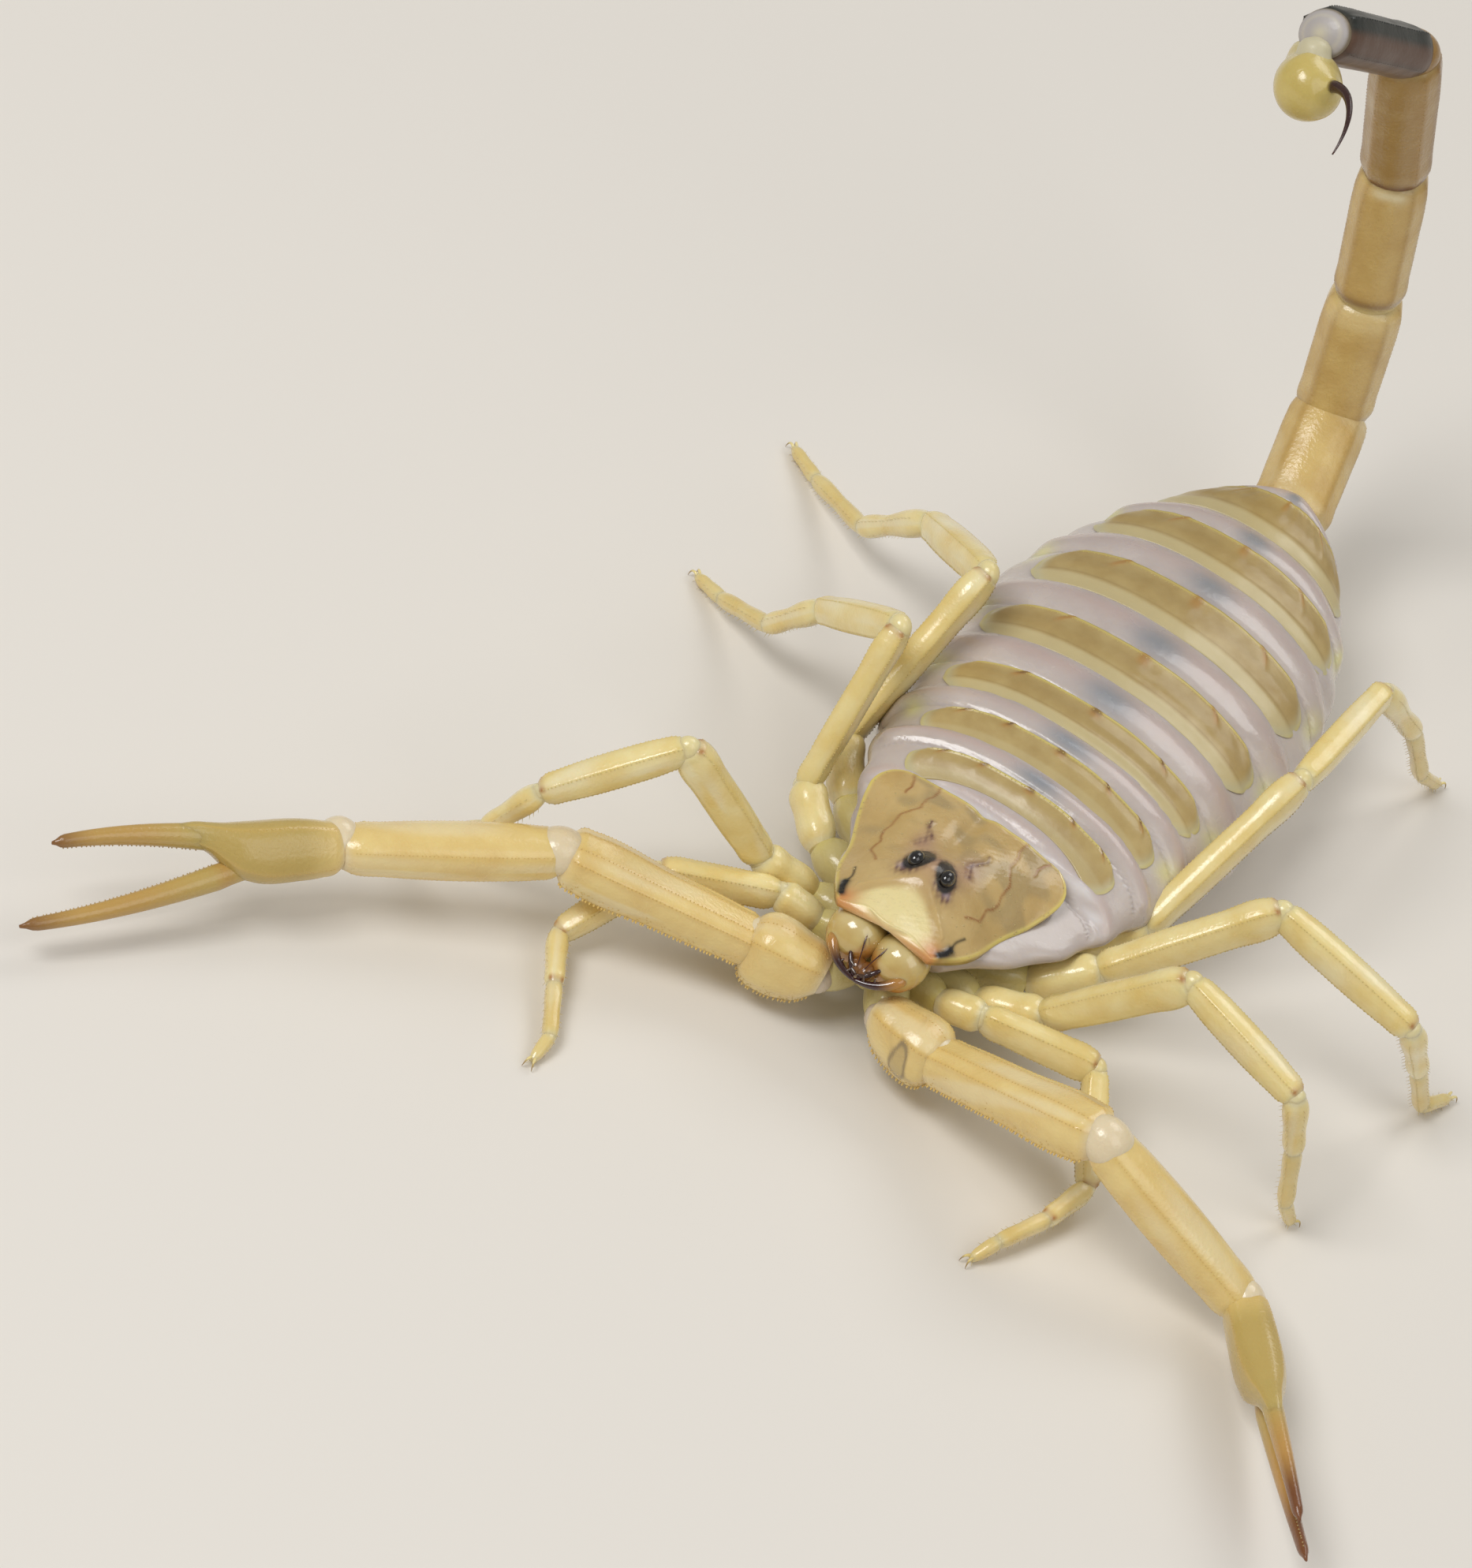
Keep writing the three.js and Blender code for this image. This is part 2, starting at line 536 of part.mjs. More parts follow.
// A ring square to any heading, its width level and its depth upright.
function spaceRing(centre, [turn, rise], width, depth, sides = 8) {
  const ahead = heading(turn, rise);
  const across = heading(turn + 90, 0);
  const up = ahead.clone().cross(across);
  return Array.from({ length: sides }, (_, side) => {
    const angle = (side + 0.5) * 2 * Math.PI / sides;
    return centre.clone().addScaledVector(across, Math.cos(angle) * width / 2)
      .addScaledVector(up, Math.sin(angle) * depth / 2);
  });
}

// The ring with its points counted from the one that follows the ring before it with least twist.
function untwisted(ring, before, centre, centreBefore) {
  const spread = (shift) => ring.reduce((sum, _, index) => {
    const now = ring[(index + shift) % ring.length].clone().sub(centre);
    return sum + now.distanceToSquared(before[index].clone().sub(centreBefore));
  }, 0);
  const shifts = ring.map((_, shift) => shift).sort((a, b) => spread(a) - spread(b));
  return ring.map((_, index) => ring[(index + shifts[0]) % ring.length]);
}

// A limb through a chain of lengths; a mark is [which length, distance along it, width, depth].
function limbSolid(start, lengths, ways, marks, grow = 0) {
  const joints = [start];
  lengths.forEach((length, index) => joints.push(
    joints[index].clone().addScaledVector(heading(...ways[index]), length)));
  const centres = marks.map(([index, distance]) => (
    joints[index].clone().addScaledVector(heading(...ways[index]), distance)));
  const rings = [];
  marks.forEach(([index, , width, depth], mark) => {
    const ring = spaceRing(centres[mark], ways[index], width + grow, depth + grow);
    rings.push(mark === 0 ? ring : untwisted(ring, rings[mark - 1], centres[mark], centres[mark - 1]));
  });
  return { solid: loft(rings), end: joints[lengths.length] };
}

const thighRooms = [];
for (const [label, stances] of Object.entries(legStances)) {
  stances.forEach(({ ways, toe: toeTurn }, index) => {
    const [hipRing, thigh, knee, shin, longFoot, shortFoot] = legLengths[index];
    const girth = legGirths[index];
    const name = `leg_${label}_${index + 1}`;
    const material = shell(legYellow, 0.3);
    const start = hips[index].end.clone();
    start.x *= label === 'left' ? 1 : -1;

    const thighMarks = [
      [0, 0.3, 1.3 * girth, 1.5 * girth], [0, 1.1, 1.9 * girth, 2.1 * girth],
      [0, hipRing - 0.8, 1.9 * girth, 2 * girth], [1, 0.65, 1.5 * girth, 1.7 * girth],
      [1, 1.8, 1.7 * girth, 2.3 * girth], [1, thigh * 0.75, 1.65 * girth, 2.3 * girth],
      [1, thigh - 0.9, 1.3 * girth, 1.7 * girth],
    ];
    const upper = limbSolid(start, [hipRing, thigh], ways, thighMarks);
    addPart(model, `${name}_thigh`, upper.solid, material);
    thighRooms.push(limbSolid(start, [hipRing, thigh], ways, thighMarks, 2 * fleshGap).solid);

    const kneeWays = ways.slice(2);
    const middle = limbSolid(upper.end, [knee], kneeWays, [
      [0, 0.2, 0.7 * girth, 0.7 * girth], [0, 1.3, 1.4 * girth, 1.6 * girth],
      [0, knee * 0.42, 1.75 * girth, 2.1 * girth], [0, knee * 0.85, 1.5 * girth, 1.7 * girth],
      [0, knee - 0.85, 1 * girth, 1.1 * girth],
    ]);
    addPart(model, `${name}_knee`, middle.solid, material);

    // The last shell comes down to the floor and ends in a level toe.
    const footWays = ways.slice(3);
    const ankle = limbSolid(middle.end, [shin, longFoot], footWays, [[0, 0, 1, 1], [1, 0, 1, 1]]).end;
    const toeHeight = toe.depth / 2 * Math.cos(Math.PI / 8);
    const descent = shortFoot - 0.4;
    const footRise = -THREE.MathUtils.radToDeg(Math.asin((ankle.z - toeHeight) / descent));
    const lower = limbSolid(middle.end, [shin, longFoot, descent, toe.length],
      [...footWays, [toeTurn, footRise], [toeTurn, 0]], [
        [0, 0.2, 0.7 * girth, 0.7 * girth], [0, 1, 1.2, 1.3], [0, shin * 0.6, 1.25, 1.4],
        [0, shin - 0.4, 1, 1.05], [1, 0.5, 1.05, 1.15], [1, longFoot - 0.5, 0.9, 0.95],
        [2, 0.5, 0.85, 0.9], [3, 0, 0.85, toe.depth], [3, toe.length, 0.6, toe.depth],
      ]);
    addPart(model, `${name}_foot`, lower.solid, material);
  });
}

// ---- soft body -----------------------------------------------------------------------------------
// The soft body gives way to the shield above it and to the thighs pressed into its sides.
const softBody = thighRooms.reduce((body, room) => body.subtract(toManifold(room)),
  toManifold(loft(bodyRings)).subtract(toManifold(carapaceSolid(fleshGap))));
const largest = softBody.decompose().reduce((best, piece) => (piece.volume() > best.volume() ? piece : best));
addPart(model, 'soft_body', fromManifold(largest), shell(fleshGrey, 0.3));

// ---- origin --------------------------------------------------------------------------------------
const footprint = new THREE.Box3().setFromObject(model, true).getCenter(new THREE.Vector3());
model.position.set(-footprint.x, -footprint.y, 0);

export default model;
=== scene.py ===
# %% [markdown]
# # A desert scorpion in Blender
# The solid model of the animal is already packed: sixty plain, faceted solids that give its size, its
# pose and its weight. This lesson dresses them. Every shell, membrane and claw is a smooth surface that
# numpy works out in millimetres and lays over its solid, and every surface gets a material made of nodes.
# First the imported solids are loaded, because the datum, the point that all places are measured from,
# comes from them.

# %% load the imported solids
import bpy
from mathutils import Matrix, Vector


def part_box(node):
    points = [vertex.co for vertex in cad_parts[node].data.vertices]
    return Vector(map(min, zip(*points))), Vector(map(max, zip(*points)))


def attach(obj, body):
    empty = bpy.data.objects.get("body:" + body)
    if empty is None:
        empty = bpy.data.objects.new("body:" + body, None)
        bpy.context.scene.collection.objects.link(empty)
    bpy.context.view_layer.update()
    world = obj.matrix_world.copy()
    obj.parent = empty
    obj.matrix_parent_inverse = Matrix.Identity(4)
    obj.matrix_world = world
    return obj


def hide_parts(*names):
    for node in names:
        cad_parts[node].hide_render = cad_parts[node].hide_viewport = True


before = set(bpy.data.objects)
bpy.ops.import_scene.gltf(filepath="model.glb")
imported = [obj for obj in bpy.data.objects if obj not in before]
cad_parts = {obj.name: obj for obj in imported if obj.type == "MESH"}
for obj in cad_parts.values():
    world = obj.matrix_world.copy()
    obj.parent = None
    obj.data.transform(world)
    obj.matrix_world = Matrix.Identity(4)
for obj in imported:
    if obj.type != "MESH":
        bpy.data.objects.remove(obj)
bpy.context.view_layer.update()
print("solids:", len(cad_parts))

# %% the libraries and the datum
import math
import bpy
import numpy as np
from mathutils import Matrix, Vector

MILLIMETRE = 0.001
CARAPACE_FRONT = -0.7
eye_boxes = [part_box("eye_left"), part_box("eye_right")]
datum = np.array([
    np.mean([corner.x for box in eye_boxes for corner in box]),
    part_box("carapace")[0].y - CARAPACE_FRONT * MILLIMETRE,
    0.0])
print("datum in metres:", datum.round(5))

# %% [markdown]
# ## Small tools
# A surface is a grid of points. Rows run along the piece and columns run across or around it. Closing
# such a grid around its columns gives a tube, and a fan of triangles at each end gives a closed skin.
# Pieces of this kind could also be drawn by hand and subdivided, but a formula keeps every edge close to
# the solid beneath and can be measured. Marks are numbers kept at each point, from 0 to 1, which tell the
# material where a rim, a keel or a stain lies.

# %% grids and closed patches
def sheet(points, wrap=False, caps=(False, False), **marks):
    """A patch from a grid of points: each cell is a quad; a cap joins an end row to its middle point."""
    rows, columns = points.shape[:2]
    index = np.arange(rows * columns).reshape(rows, columns)
    here, there = (index, np.roll(index, -1, axis=1)) if wrap else (index[:, :-1], index[:, 1:])
    quads = np.stack([here[:-1], there[:-1], there[1:], here[1:]], axis=-1).reshape(-1, 4)
    flat = points.reshape(-1, 3)
    values = {name: np.broadcast_to(mark, (rows, columns)).reshape(-1) for name, mark in marks.items()}
    triangles = []
    for row, wanted in ((0, caps[0]), (rows - 1, caps[1])):
        if not wanted:
            continue
        centre = np.full(len(here[row]), len(flat))
        pair = (there[row], here[row]) if row == 0 else (here[row], there[row])
        triangles.append(np.stack([centre, *pair], axis=-1))
        flat = np.concatenate([flat, points[row].mean(axis=0, keepdims=True)])
        values = {name: np.append(mark, mark[index[row]].mean()) for name, mark in values.items()}
    fans = np.concatenate(triangles) if triangles else np.zeros((0, 3), int)
    return {"points": flat, "quads": quads, "triangles": fans, "marks": values}


def outward(patch):
    """The patch with its faces pointing out: a closed skin that counts a negative volume is turned."""
    p, q, t = patch["points"], patch["quads"], patch["triangles"]
    corners = np.concatenate([q[:, [0, 1, 2]], q[:, [0, 2, 3]], t])
    a, b, c = (p[corners[:, k]] - p.mean(axis=0) for k in range(3))
    if np.einsum("ij,ij->i", a, np.cross(b, c)).sum() < 0:
        return {**patch, "quads": q[:, ::-1], "triangles": t[:, ::-1]}
    return patch


def joined(patches):
    """One patch out of many: the points follow each other and the faces count on from them."""
    names = sorted({name for patch in patches for name in patch["marks"]})
    starts = np.cumsum([0] + [len(patch["points"]) for patch in patches])
    return {
        "points": np.concatenate([patch["points"] for patch in patches]),
        "quads": np.concatenate([patch["quads"] + start for patch, start in zip(patches, starts)]),
        "triangles": np.concatenate([patch["triangles"] + start for patch, start in zip(patches, starts)]),
        "marks": {name: np.concatenate([patch["marks"].get(name, np.zeros(len(patch["points"])))
                                        for patch in patches]) for name in names},
    }


# %% from a patch to a Blender piece
def build(name, patches, material, nodes=()):
    """A finished piece: points from millimetres about the datum to metres, marks as attributes."""
    whole = joined([outward(patch) for patch in patches])
    mesh = bpy.data.meshes.new(name)
    faces = whole["quads"].tolist() + whole["triangles"].tolist()
    mesh.from_pydata((whole["points"] * MILLIMETRE + datum).tolist(), [], faces)
    for mark, values in whole["marks"].items():
        attribute = mesh.attributes.new(mark, "FLOAT", "POINT")
        attribute.data.foreach_set("value", np.clip(values, 0, 1).astype(np.float32))
    mesh.polygons.foreach_set("use_smooth", np.ones(len(faces), bool))
    mesh.materials.append(material)
    mesh.update()
    piece = bpy.data.objects.new(name, mesh)
    bpy.context.scene.collection.objects.link(piece)
    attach(piece, "root")
    if nodes:
        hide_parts(*nodes)
    print(name, "faces:", len(faces))
    return piece


# %% curves through given values
def through(keys, values, at):
    """A smooth curve through values at keys: between two keys a cubic that leaves and arrives with the
    slope from the key before to the key after."""
    keys, at = np.asarray(keys, float), np.asarray(at, float)
    values = np.asarray(values, float)
    slopes = np.gradient(values, keys, axis=0)
    part = np.clip(np.searchsorted(keys, at, side="right") - 1, 0, len(keys) - 2)
    span = keys[part + 1] - keys[part]
    t = np.clip((at - keys[part]) / span, 0, 1)
    if values.ndim > 1:
        t, span = t[..., None], span[..., None]
    return ((2 * t**3 - 3 * t**2 + 1) * values[part] + (t**3 - 2 * t**2 + t) * span * slopes[part]
            + (3 * t**2 - 2 * t**3) * values[part + 1] + (t**3 - t**2) * span * slopes[part + 1])


def smooth(t):
    """0 below 0, 1 above 1, and an S curve between."""
    t = np.clip(t, 0, 1)
    return t * t * (3 - 2 * t)


def bell(distance, width):
    """1 at no distance, falling like a bell curve with the given half width."""
    return np.exp(-(np.asarray(distance) / width) ** 2)


def ripple(seed, *coordinates):
    """Soft irregular waves from -1 to 1: the mean of sines whose directions and phases are drawn once."""
    draw = np.random.default_rng(seed)
    total = 0
    for _ in range(6):
        turn = draw.normal(size=len(coordinates))
        total = total + np.sin(sum(k * c for k, c in zip(turn, coordinates)) + draw.uniform(0, 2 * np.pi))
    return total / 6


# %% directions in space
def heading(turn, rise):
    """The unit direction that a turn about Z and a rise above the floor give, in degrees."""
    turn, rise = np.radians(turn), np.radians(rise)
    return np.array([np.cos(rise) * np.cos(turn), np.cos(rise) * np.sin(turn), np.sin(rise)])


def unit(vector):
    """The vector, or each row of vectors, over its own length."""
    return vector / np.linalg.norm(vector, axis=-1, keepdims=True)


def limb_axes(turn, rise, roll=0):
    """Rows: ahead, leftward and up of a limb that points along its heading, turned by roll about it."""
    ahead, across = heading(turn, rise), heading(turn + 90, 0)
    up = np.cross(ahead, across)
    roll = np.radians(roll)
    return np.stack([ahead, np.cos(roll) * across + np.sin(roll) * up,
                     np.cos(roll) * up - np.sin(roll) * across])


def placed(local, place, axes):
    """Points given along a limb's own axes, moved to where the limb is."""
    return place + local @ axes


# %% rows of granules
def beads(places, outs, along, size, height, rings=3, around=6, **marks):
    """Many small domes as one patch: rings of points shrink with a cosine while they rise with a sine."""
    places, outs, along = np.atleast_2d(places), np.atleast_2d(outs), np.atleast_2d(along)
    size = np.broadcast_to(size, len(places))[:, None, None, None]
    height = np.broadcast_to(height, len(places))[:, None, None, None]
    along = unit(along - outs * np.sum(along * outs, axis=-1, keepdims=True))
    aside = np.cross(outs, along)
    climb = np.linspace(0, 0.8, rings)[None, :, None, None] * np.pi / 2
    turn = (np.arange(around) / around * 2 * np.pi)[None, None, :, None]
    outs, along, aside = (v[:, None, None, :] for v in (outs, along, aside))
    rim = places[:, None, None, :] + size * np.cos(climb) * (np.cos(turn) * along + np.sin(turn) * aside)
    points = rim + outs * (height * np.sin(climb) - 0.25 * size)
    tips = places[:, None, :] + (outs * (height - 0.25 * size))[:, 0]
    count = rings * around + 1
    points = np.concatenate([points.reshape(len(places), -1, 3), tips], axis=1)
    ring = np.arange(around)
    nxt = (ring + 1) % around
    quads = np.concatenate([np.stack([k * around + ring, k * around + nxt, (k + 1) * around + nxt,
                                      (k + 1) * around + ring], axis=-1) for k in range(rings - 1)])
    top = (rings - 1) * around
    fan = np.stack([top + ring, top + nxt, np.full(around, count - 1)], axis=-1)
    shift = (np.arange(len(places)) * count)[:, None, None]
    return {"points": points.reshape(-1, 3), "quads": (quads[None] + shift).reshape(-1, 4),
            "triangles": (fan[None] + shift).reshape(-1, 3),
            "marks": {name: np.full(len(places) * count, value) for name, value in marks.items()}}


def spaced(line, outs, pitch, seed, start=0.06, end=0.94):
    """Places along a line at an even pitch, a little shaken, with the outward direction at each."""
    steps = np.linalg.norm(np.diff(line, axis=0), axis=1)
    reach = np.concatenate([[0], np.cumsum(steps)])
    count = max(2, int(reach[-1] * (end - start) / pitch))
    shake = np.random.default_rng(seed).uniform(-0.25, 0.25, count) * pitch
    at = reach[-1] * np.linspace(start, end, count) + shake
    places = np.stack([np.interp(at, reach, line[:, k]) for k in range(3)], axis=-1)
    normals = unit(np.stack([np.interp(at, reach, outs[:, k]) for k in range(3)], axis=-1))
    ahead = np.broadcast_to(unit(line[-1] - line[0]), places.shape)
    return places, normals, ahead


# %% [markdown]
# ## Materials
# A scorpion's shell is a thin glassy layer over pale flesh, so every shell colour is cloudy, shines
# through a little and is covered by a clear coat. Each material mixes its base colour with a cloud of
# noise and then lays one colour after another over it where the piece's marks say so. The noise could be
# an image, but procedural noise in the piece's own space has no seams and works at any distance.

# %% colours and the shared node group
def colour(code):
    """A colour written as six hexadecimal digits, turned from screen values to linear light."""
    channels = [int(code[k:k + 2], 16) / 255 for k in (0, 2, 4)]
    return (*[c / 12.92 if c <= 0.04045 else ((c + 0.055) / 1.055) ** 2.4 for c in channels], 1)


def node(tree, kind, x=0, **settings):
    """A new shader node at x in the node editor, with the given settings."""
    made = tree.nodes.new(kind)
    made.location = (x, 0)
    for name, value in settings.items():
        setattr(made, name, value)
    return made


def cloud_group():
    """Clouds for colour and a fine grain for bumps: the position over a size in metres feeds two noises."""
    tree = bpy.data.node_groups.new("cloud_and_grain", "ShaderNodeTree")
    for name in ("Cloud size", "Grain size"):
        tree.interface.new_socket(name, in_out="INPUT", socket_type="NodeSocketFloat")
    for name in ("Cloud", "Grain"):
        tree.interface.new_socket(name, in_out="OUTPUT", socket_type="NodeSocketFloat")
    given, result = node(tree, "NodeGroupInput", -900), node(tree, "NodeGroupOutput", 500)
    place = node(tree, "ShaderNodeTexCoord", -900)
    for size, out, detail in (("Cloud size", "Cloud", 4.0), ("Grain size", "Grain", 2.0)):
        scale = node(tree, "ShaderNodeMath", -600, operation="DIVIDE")
        scale.inputs[0].default_value = 1
        tree.links.new(given.outputs[size], scale.inputs[1])
        noise = node(tree, "ShaderNodeTexNoise", -400)
        noise.inputs["Detail"].default_value = detail
        tree.links.new(place.outputs["Object"], noise.inputs["Vector"])
        tree.links.new(scale.outputs[0], noise.inputs["Scale"])
        spread = node(tree, "ShaderNodeMapRange", -100)
        spread.inputs["From Min"].default_value = 0.3
        spread.inputs["From Max"].default_value = 0.7
        tree.links.new(noise.outputs[0], spread.inputs["Value"])
        tree.links.new(spread.outputs[0], result.inputs[out])
    return tree


CLOUD = cloud_group()


# %% a shell material
COAT_ROUGHNESS = 0.12
LIGHT_SPREAD = (1.0, 0.75, 0.45)


def finish(name, base, cloudy, marks=(), cloud=3.0, grain=0.25, bump=0.02, rough=(0.22, 0.34),
           coat=0.35, glow=0.12, reach=0.6):
    """Base colour mixed with its cloudy colour, then with each mark's colour; the grain lifts the surface.
    Sizes are in millimetres: cloud and grain are the noise sizes, bump is the height, and reach is how far
    light travels under the surface, red furthest. glow is the share of light that does so."""
    material = bpy.data.materials.new(name)
    material.use_nodes = True
    tree = material.node_tree
    shader = tree.nodes["Principled BSDF"]
    noise = node(tree, "ShaderNodeGroup", -900, node_tree=CLOUD)
    noise.inputs["Cloud size"].default_value = cloud * MILLIMETRE
    noise.inputs["Grain size"].default_value = grain * MILLIMETRE
    mix = node(tree, "ShaderNodeMix", -700, data_type="RGBA")
    mix.inputs["A"].default_value, mix.inputs["B"].default_value = colour(base), colour(cloudy)
    tree.links.new(noise.outputs["Cloud"], mix.inputs["Factor"])
    last = mix.outputs["Result"]
    for step, (mark, code) in enumerate(marks):
        where = node(tree, "ShaderNodeAttribute", -600 + 150 * step, attribute_name=mark)
        mix = node(tree, "ShaderNodeMix", -500 + 150 * step, data_type="RGBA")
        mix.inputs["B"].default_value = colour(code)
        tree.links.new(where.outputs["Fac"], mix.inputs["Factor"])
        tree.links.new(last, mix.inputs["A"])
        last = mix.outputs["Result"]
    tree.links.new(last, shader.inputs["Base Color"])
    gloss = node(tree, "ShaderNodeMapRange", -300)
    gloss.inputs["To Min"].default_value, gloss.inputs["To Max"].default_value = rough
    tree.links.new(noise.outputs["Cloud"], gloss.inputs["Value"])
    tree.links.new(gloss.outputs[0], shader.inputs["Roughness"])
    lift = node(tree, "ShaderNodeBump", -200)
    lift.inputs["Strength"].default_value = 1
    lift.inputs["Distance"].default_value = bump * MILLIMETRE
    tree.links.new(noise.outputs["Grain"], lift.inputs["Height"])
    tree.links.new(lift.outputs[0], shader.inputs["Normal"])
    shader.inputs["Coat Weight"].default_value = coat
    shader.inputs["Coat Roughness"].default_value = COAT_ROUGHNESS
    shader.inputs["Subsurface Weight"].default_value = glow
    shader.inputs["Subsurface Radius"].default_value = LIGHT_SPREAD
    shader.inputs["Subsurface Scale"].default_value = reach * MILLIMETRE
    return material


# %% the materials of the animal
# on the head shell, the lilac patch beside each eye is a painted sheen
head_shell = finish("head_shell", "CFB37A", "BE9F63", [
    ("smudge", "93825F"), ("lobe", "F0DFA4"), ("corner", "D98E50"), ("veil", "B5907A"), ("rim", "DDCC6E"),
    ("keel", "8E5220"), ("horn", "5E3A38"), ("pearl", "BBA9B2"), ("halo", "181815"), ("black", "120D0B")],
    cloud=2.2, bump=0.008, rough=(0.2, 0.36), glow=0.25, reach=0.8)
ring_shell = finish("ring_shell", "BFA871", "AD935A", [
    ("band", "9A7F4A"), ("fore", "CDBF92"), ("tip", "C9C09A"), ("rim", "D3C26C"), ("keel", "AF7A34"),
    ("black", "2A1C12")], cloud=1.5, grain=0.35, bump=0.006, rough=(0.28, 0.44), coat=0.25, glow=0.15)
skin = finish("soft_skin", "C0B4AE", "CDC3BD", [
    ("pink", "C4ACA4"), ("heart", "8B9198"), ("patch", "E0DAA0"), ("shadow", "8F8078"), ("pale", "E6E2E2")],
    grain=0.5, bump=0.012, rough=(0.16, 0.34), coat=0.4, glow=0.3, reach=1.2)
leg_shell = finish("leg_shell", "F4E4A8", "EAD084", [
    ("milk", "F4EED2"), ("keel", "DDBE62"), ("joint", "EADFB4"), ("toe", "CDB069"), ("knob", "A8642C"),
    ("dark", "6B4524")], cloud=2.0, grain=0.2, bump=0.01, rough=(0.16, 0.3), coat=0.4, glow=0.2)
arm_shell = finish("arm_shell", "EFD690", "E3C37A", [
    ("milk", "F3EACB"), ("olive", "BCA25A"), ("keel", "DCB25A"), ("joint", "E9D8B6"), ("skin", "C4B6AC"),
    ("warm", "C08E4A"), ("tip", "6E3A1C"), ("stain", "7A674E")],
    cloud=2.4, grain=0.22, bump=0.015, rough=(0.18, 0.32), coat=0.4, glow=0.18)
# on the tail rings the pale mark is partly the shell's own lighter mottle and partly a painted highlight, a
# cream oval on top of ring III near its far end
tail_shell = finish("tail_shell", "E2C47E", "CFAC66", [
    ("aged", "8E672C"), ("keel", "AD8440"), ("hinge", "6B3A1C"), ("joint", "D8C58C"), ("pale", "EBDDB4")],
    cloud=2.2, grain=0.25, bump=0.02, rough=(0.22, 0.36), coat=0.3, glow=0.12)
dark_shell = finish("dark_tail_shell", "1E2420", "282A24", [
    ("side", "5C4233"), ("keel", "15150F"), ("joint", "7A6138"), ("disc", "B2ACAA"), ("ring", "6E5C34"),
    ("neck", "DCD3B0")], cloud=1.8, grain=0.3, bump=0.008, rough=(0.34, 0.5), coat=0.12, glow=0.04)
# the bulb's paler colour near the disc is a painted highlight
bulb_shell = finish("sting_bulb", "D2BE72", "C4AE60", [("stalk", "E2D8AE"), ("point", "351712")],
    cloud=1.6, grain=0.2, bump=0.01, rough=(0.2, 0.3), coat=0.45, glow=0.2)
# on the jaws the pale mark is a painted highlight on top of each bulb
jaw_shell = finish("jaw_shell", "D2B974", "C4A45F", [
    ("pale", "E8DCAA"), ("warm", "B8782F"), ("dark", "35100F")],
    cloud=1.2, grain=0.2, bump=0.004, rough=(0.06, 0.14), coat=0.9, glow=0.3)
belly_shell = finish("belly_shell", "D6C88C", "C9B878", [("rim", "DCCB70"), ("black", "5A4024")],
    cloud=2.4, bump=0.012, rough=(0.2, 0.32))
eye_glass = finish("eye_glass", "0B0A0A", "15110F", cloud=0.6, grain=0.2, bump=0.0, rough=(0.02, 0.04),
    coat=1.0, glow=0.0)
print("materials:", len(bpy.data.materials))

# %% [markdown]
# ## The soft body
# The animal is swollen, so the skin between its plates is stretched like a balloon. One skin covers all
# the flesh, from under the head shield to the tail. Its half width, top and bottom are functions of the
# distance y along the body, its section is a rounded square, and folds and swellings are added along the
# outward direction. Sculpting would give the same look, but the plates need the same formula to lie on it.

# %% the body's sections
BODY_FRONT, BODY_REAR = 1.8, 52.8
BELLY_MIDDLE, BELLY_WIDTH = 29.0, 23.3
NECK_TOP, NECK_BOTTOM, BELLY_FLOOR = 8.1, 5.9, 1.0
BODY_LEAN = 1.1       # how far the body behind the head lies to the left of the datum


def body_section(y):
    """Half width, top and bottom of the body at y: an egg shape, wider behind the middle."""
    away = np.where(y < BELLY_MIDDLE, (BELLY_MIDDLE - y) / 30, (y - BELLY_MIDDLE) / 24.4)
    power = np.where(y < BELLY_MIDDLE, 0.69, 0.6)
    half = BELLY_WIDTH / 2 * np.maximum(1 - away * away, 1e-6) ** power
    behind_head = np.maximum(0, y - 11.5)
    behind_middle = np.maximum(0, y - BELLY_MIDDLE) / (BODY_REAR - BELLY_MIDDLE)
    top = NECK_TOP + 3.3 * (1 - np.exp(-behind_head / 4)) - 0.9 * behind_middle ** 2
    bottom = NECK_BOTTOM + (BELLY_FLOOR - NECK_BOTTOM) * smooth(behind_head / 8) + 4.4 * behind_middle ** 2.2
    return half, top, bottom


def body_point(y, angle, grow=0.0):
    """A point of the body: the angle runs from the left side over the back, and grow moves it outward."""
    half, top, bottom = body_section(y)
    middle = bottom + (top - bottom) * 0.48
    reach = np.where(np.sin(angle) > 0, top - middle, middle - bottom)
    power = 2 / 2.25
    across = np.sign(np.cos(angle)) * np.abs(np.cos(angle)) ** power
    raised = np.sign(np.sin(angle)) * np.abs(np.sin(angle)) ** power
    lean = BODY_LEAN * smooth((y - 2) / 6)
    y = y + 0 * across
    return np.stack([(half + grow) * across + lean, y, middle + (reach + grow) * raised], axis=-1)


print("body at its widest:", round(float(2 * body_section(np.array(BELLY_MIDDLE))[0]), 2), "mm")

# %% where the back plates lie
# front edge, rear edge and how far each plate reaches to either side of the middle, in degrees
PLATES = [(13.9, 15.45, 48), (17, 19, 50), (20.9, 23.5, 52), (26.6, 30.1, 54), (33.5, 37.6, 56),
          (40.8, 44.6, 60), (46.9, 51.2, 68)]
CROWN = 0.9           # how far a plate's ends lie before its middle
HALF_BACK = 54        # degrees from the middle of the back to where it counts as the side
COLLAR_FRONT, COLLAR_LEVEL = 12.0, 12.8    # the skin behind the head shield: its start and its creases


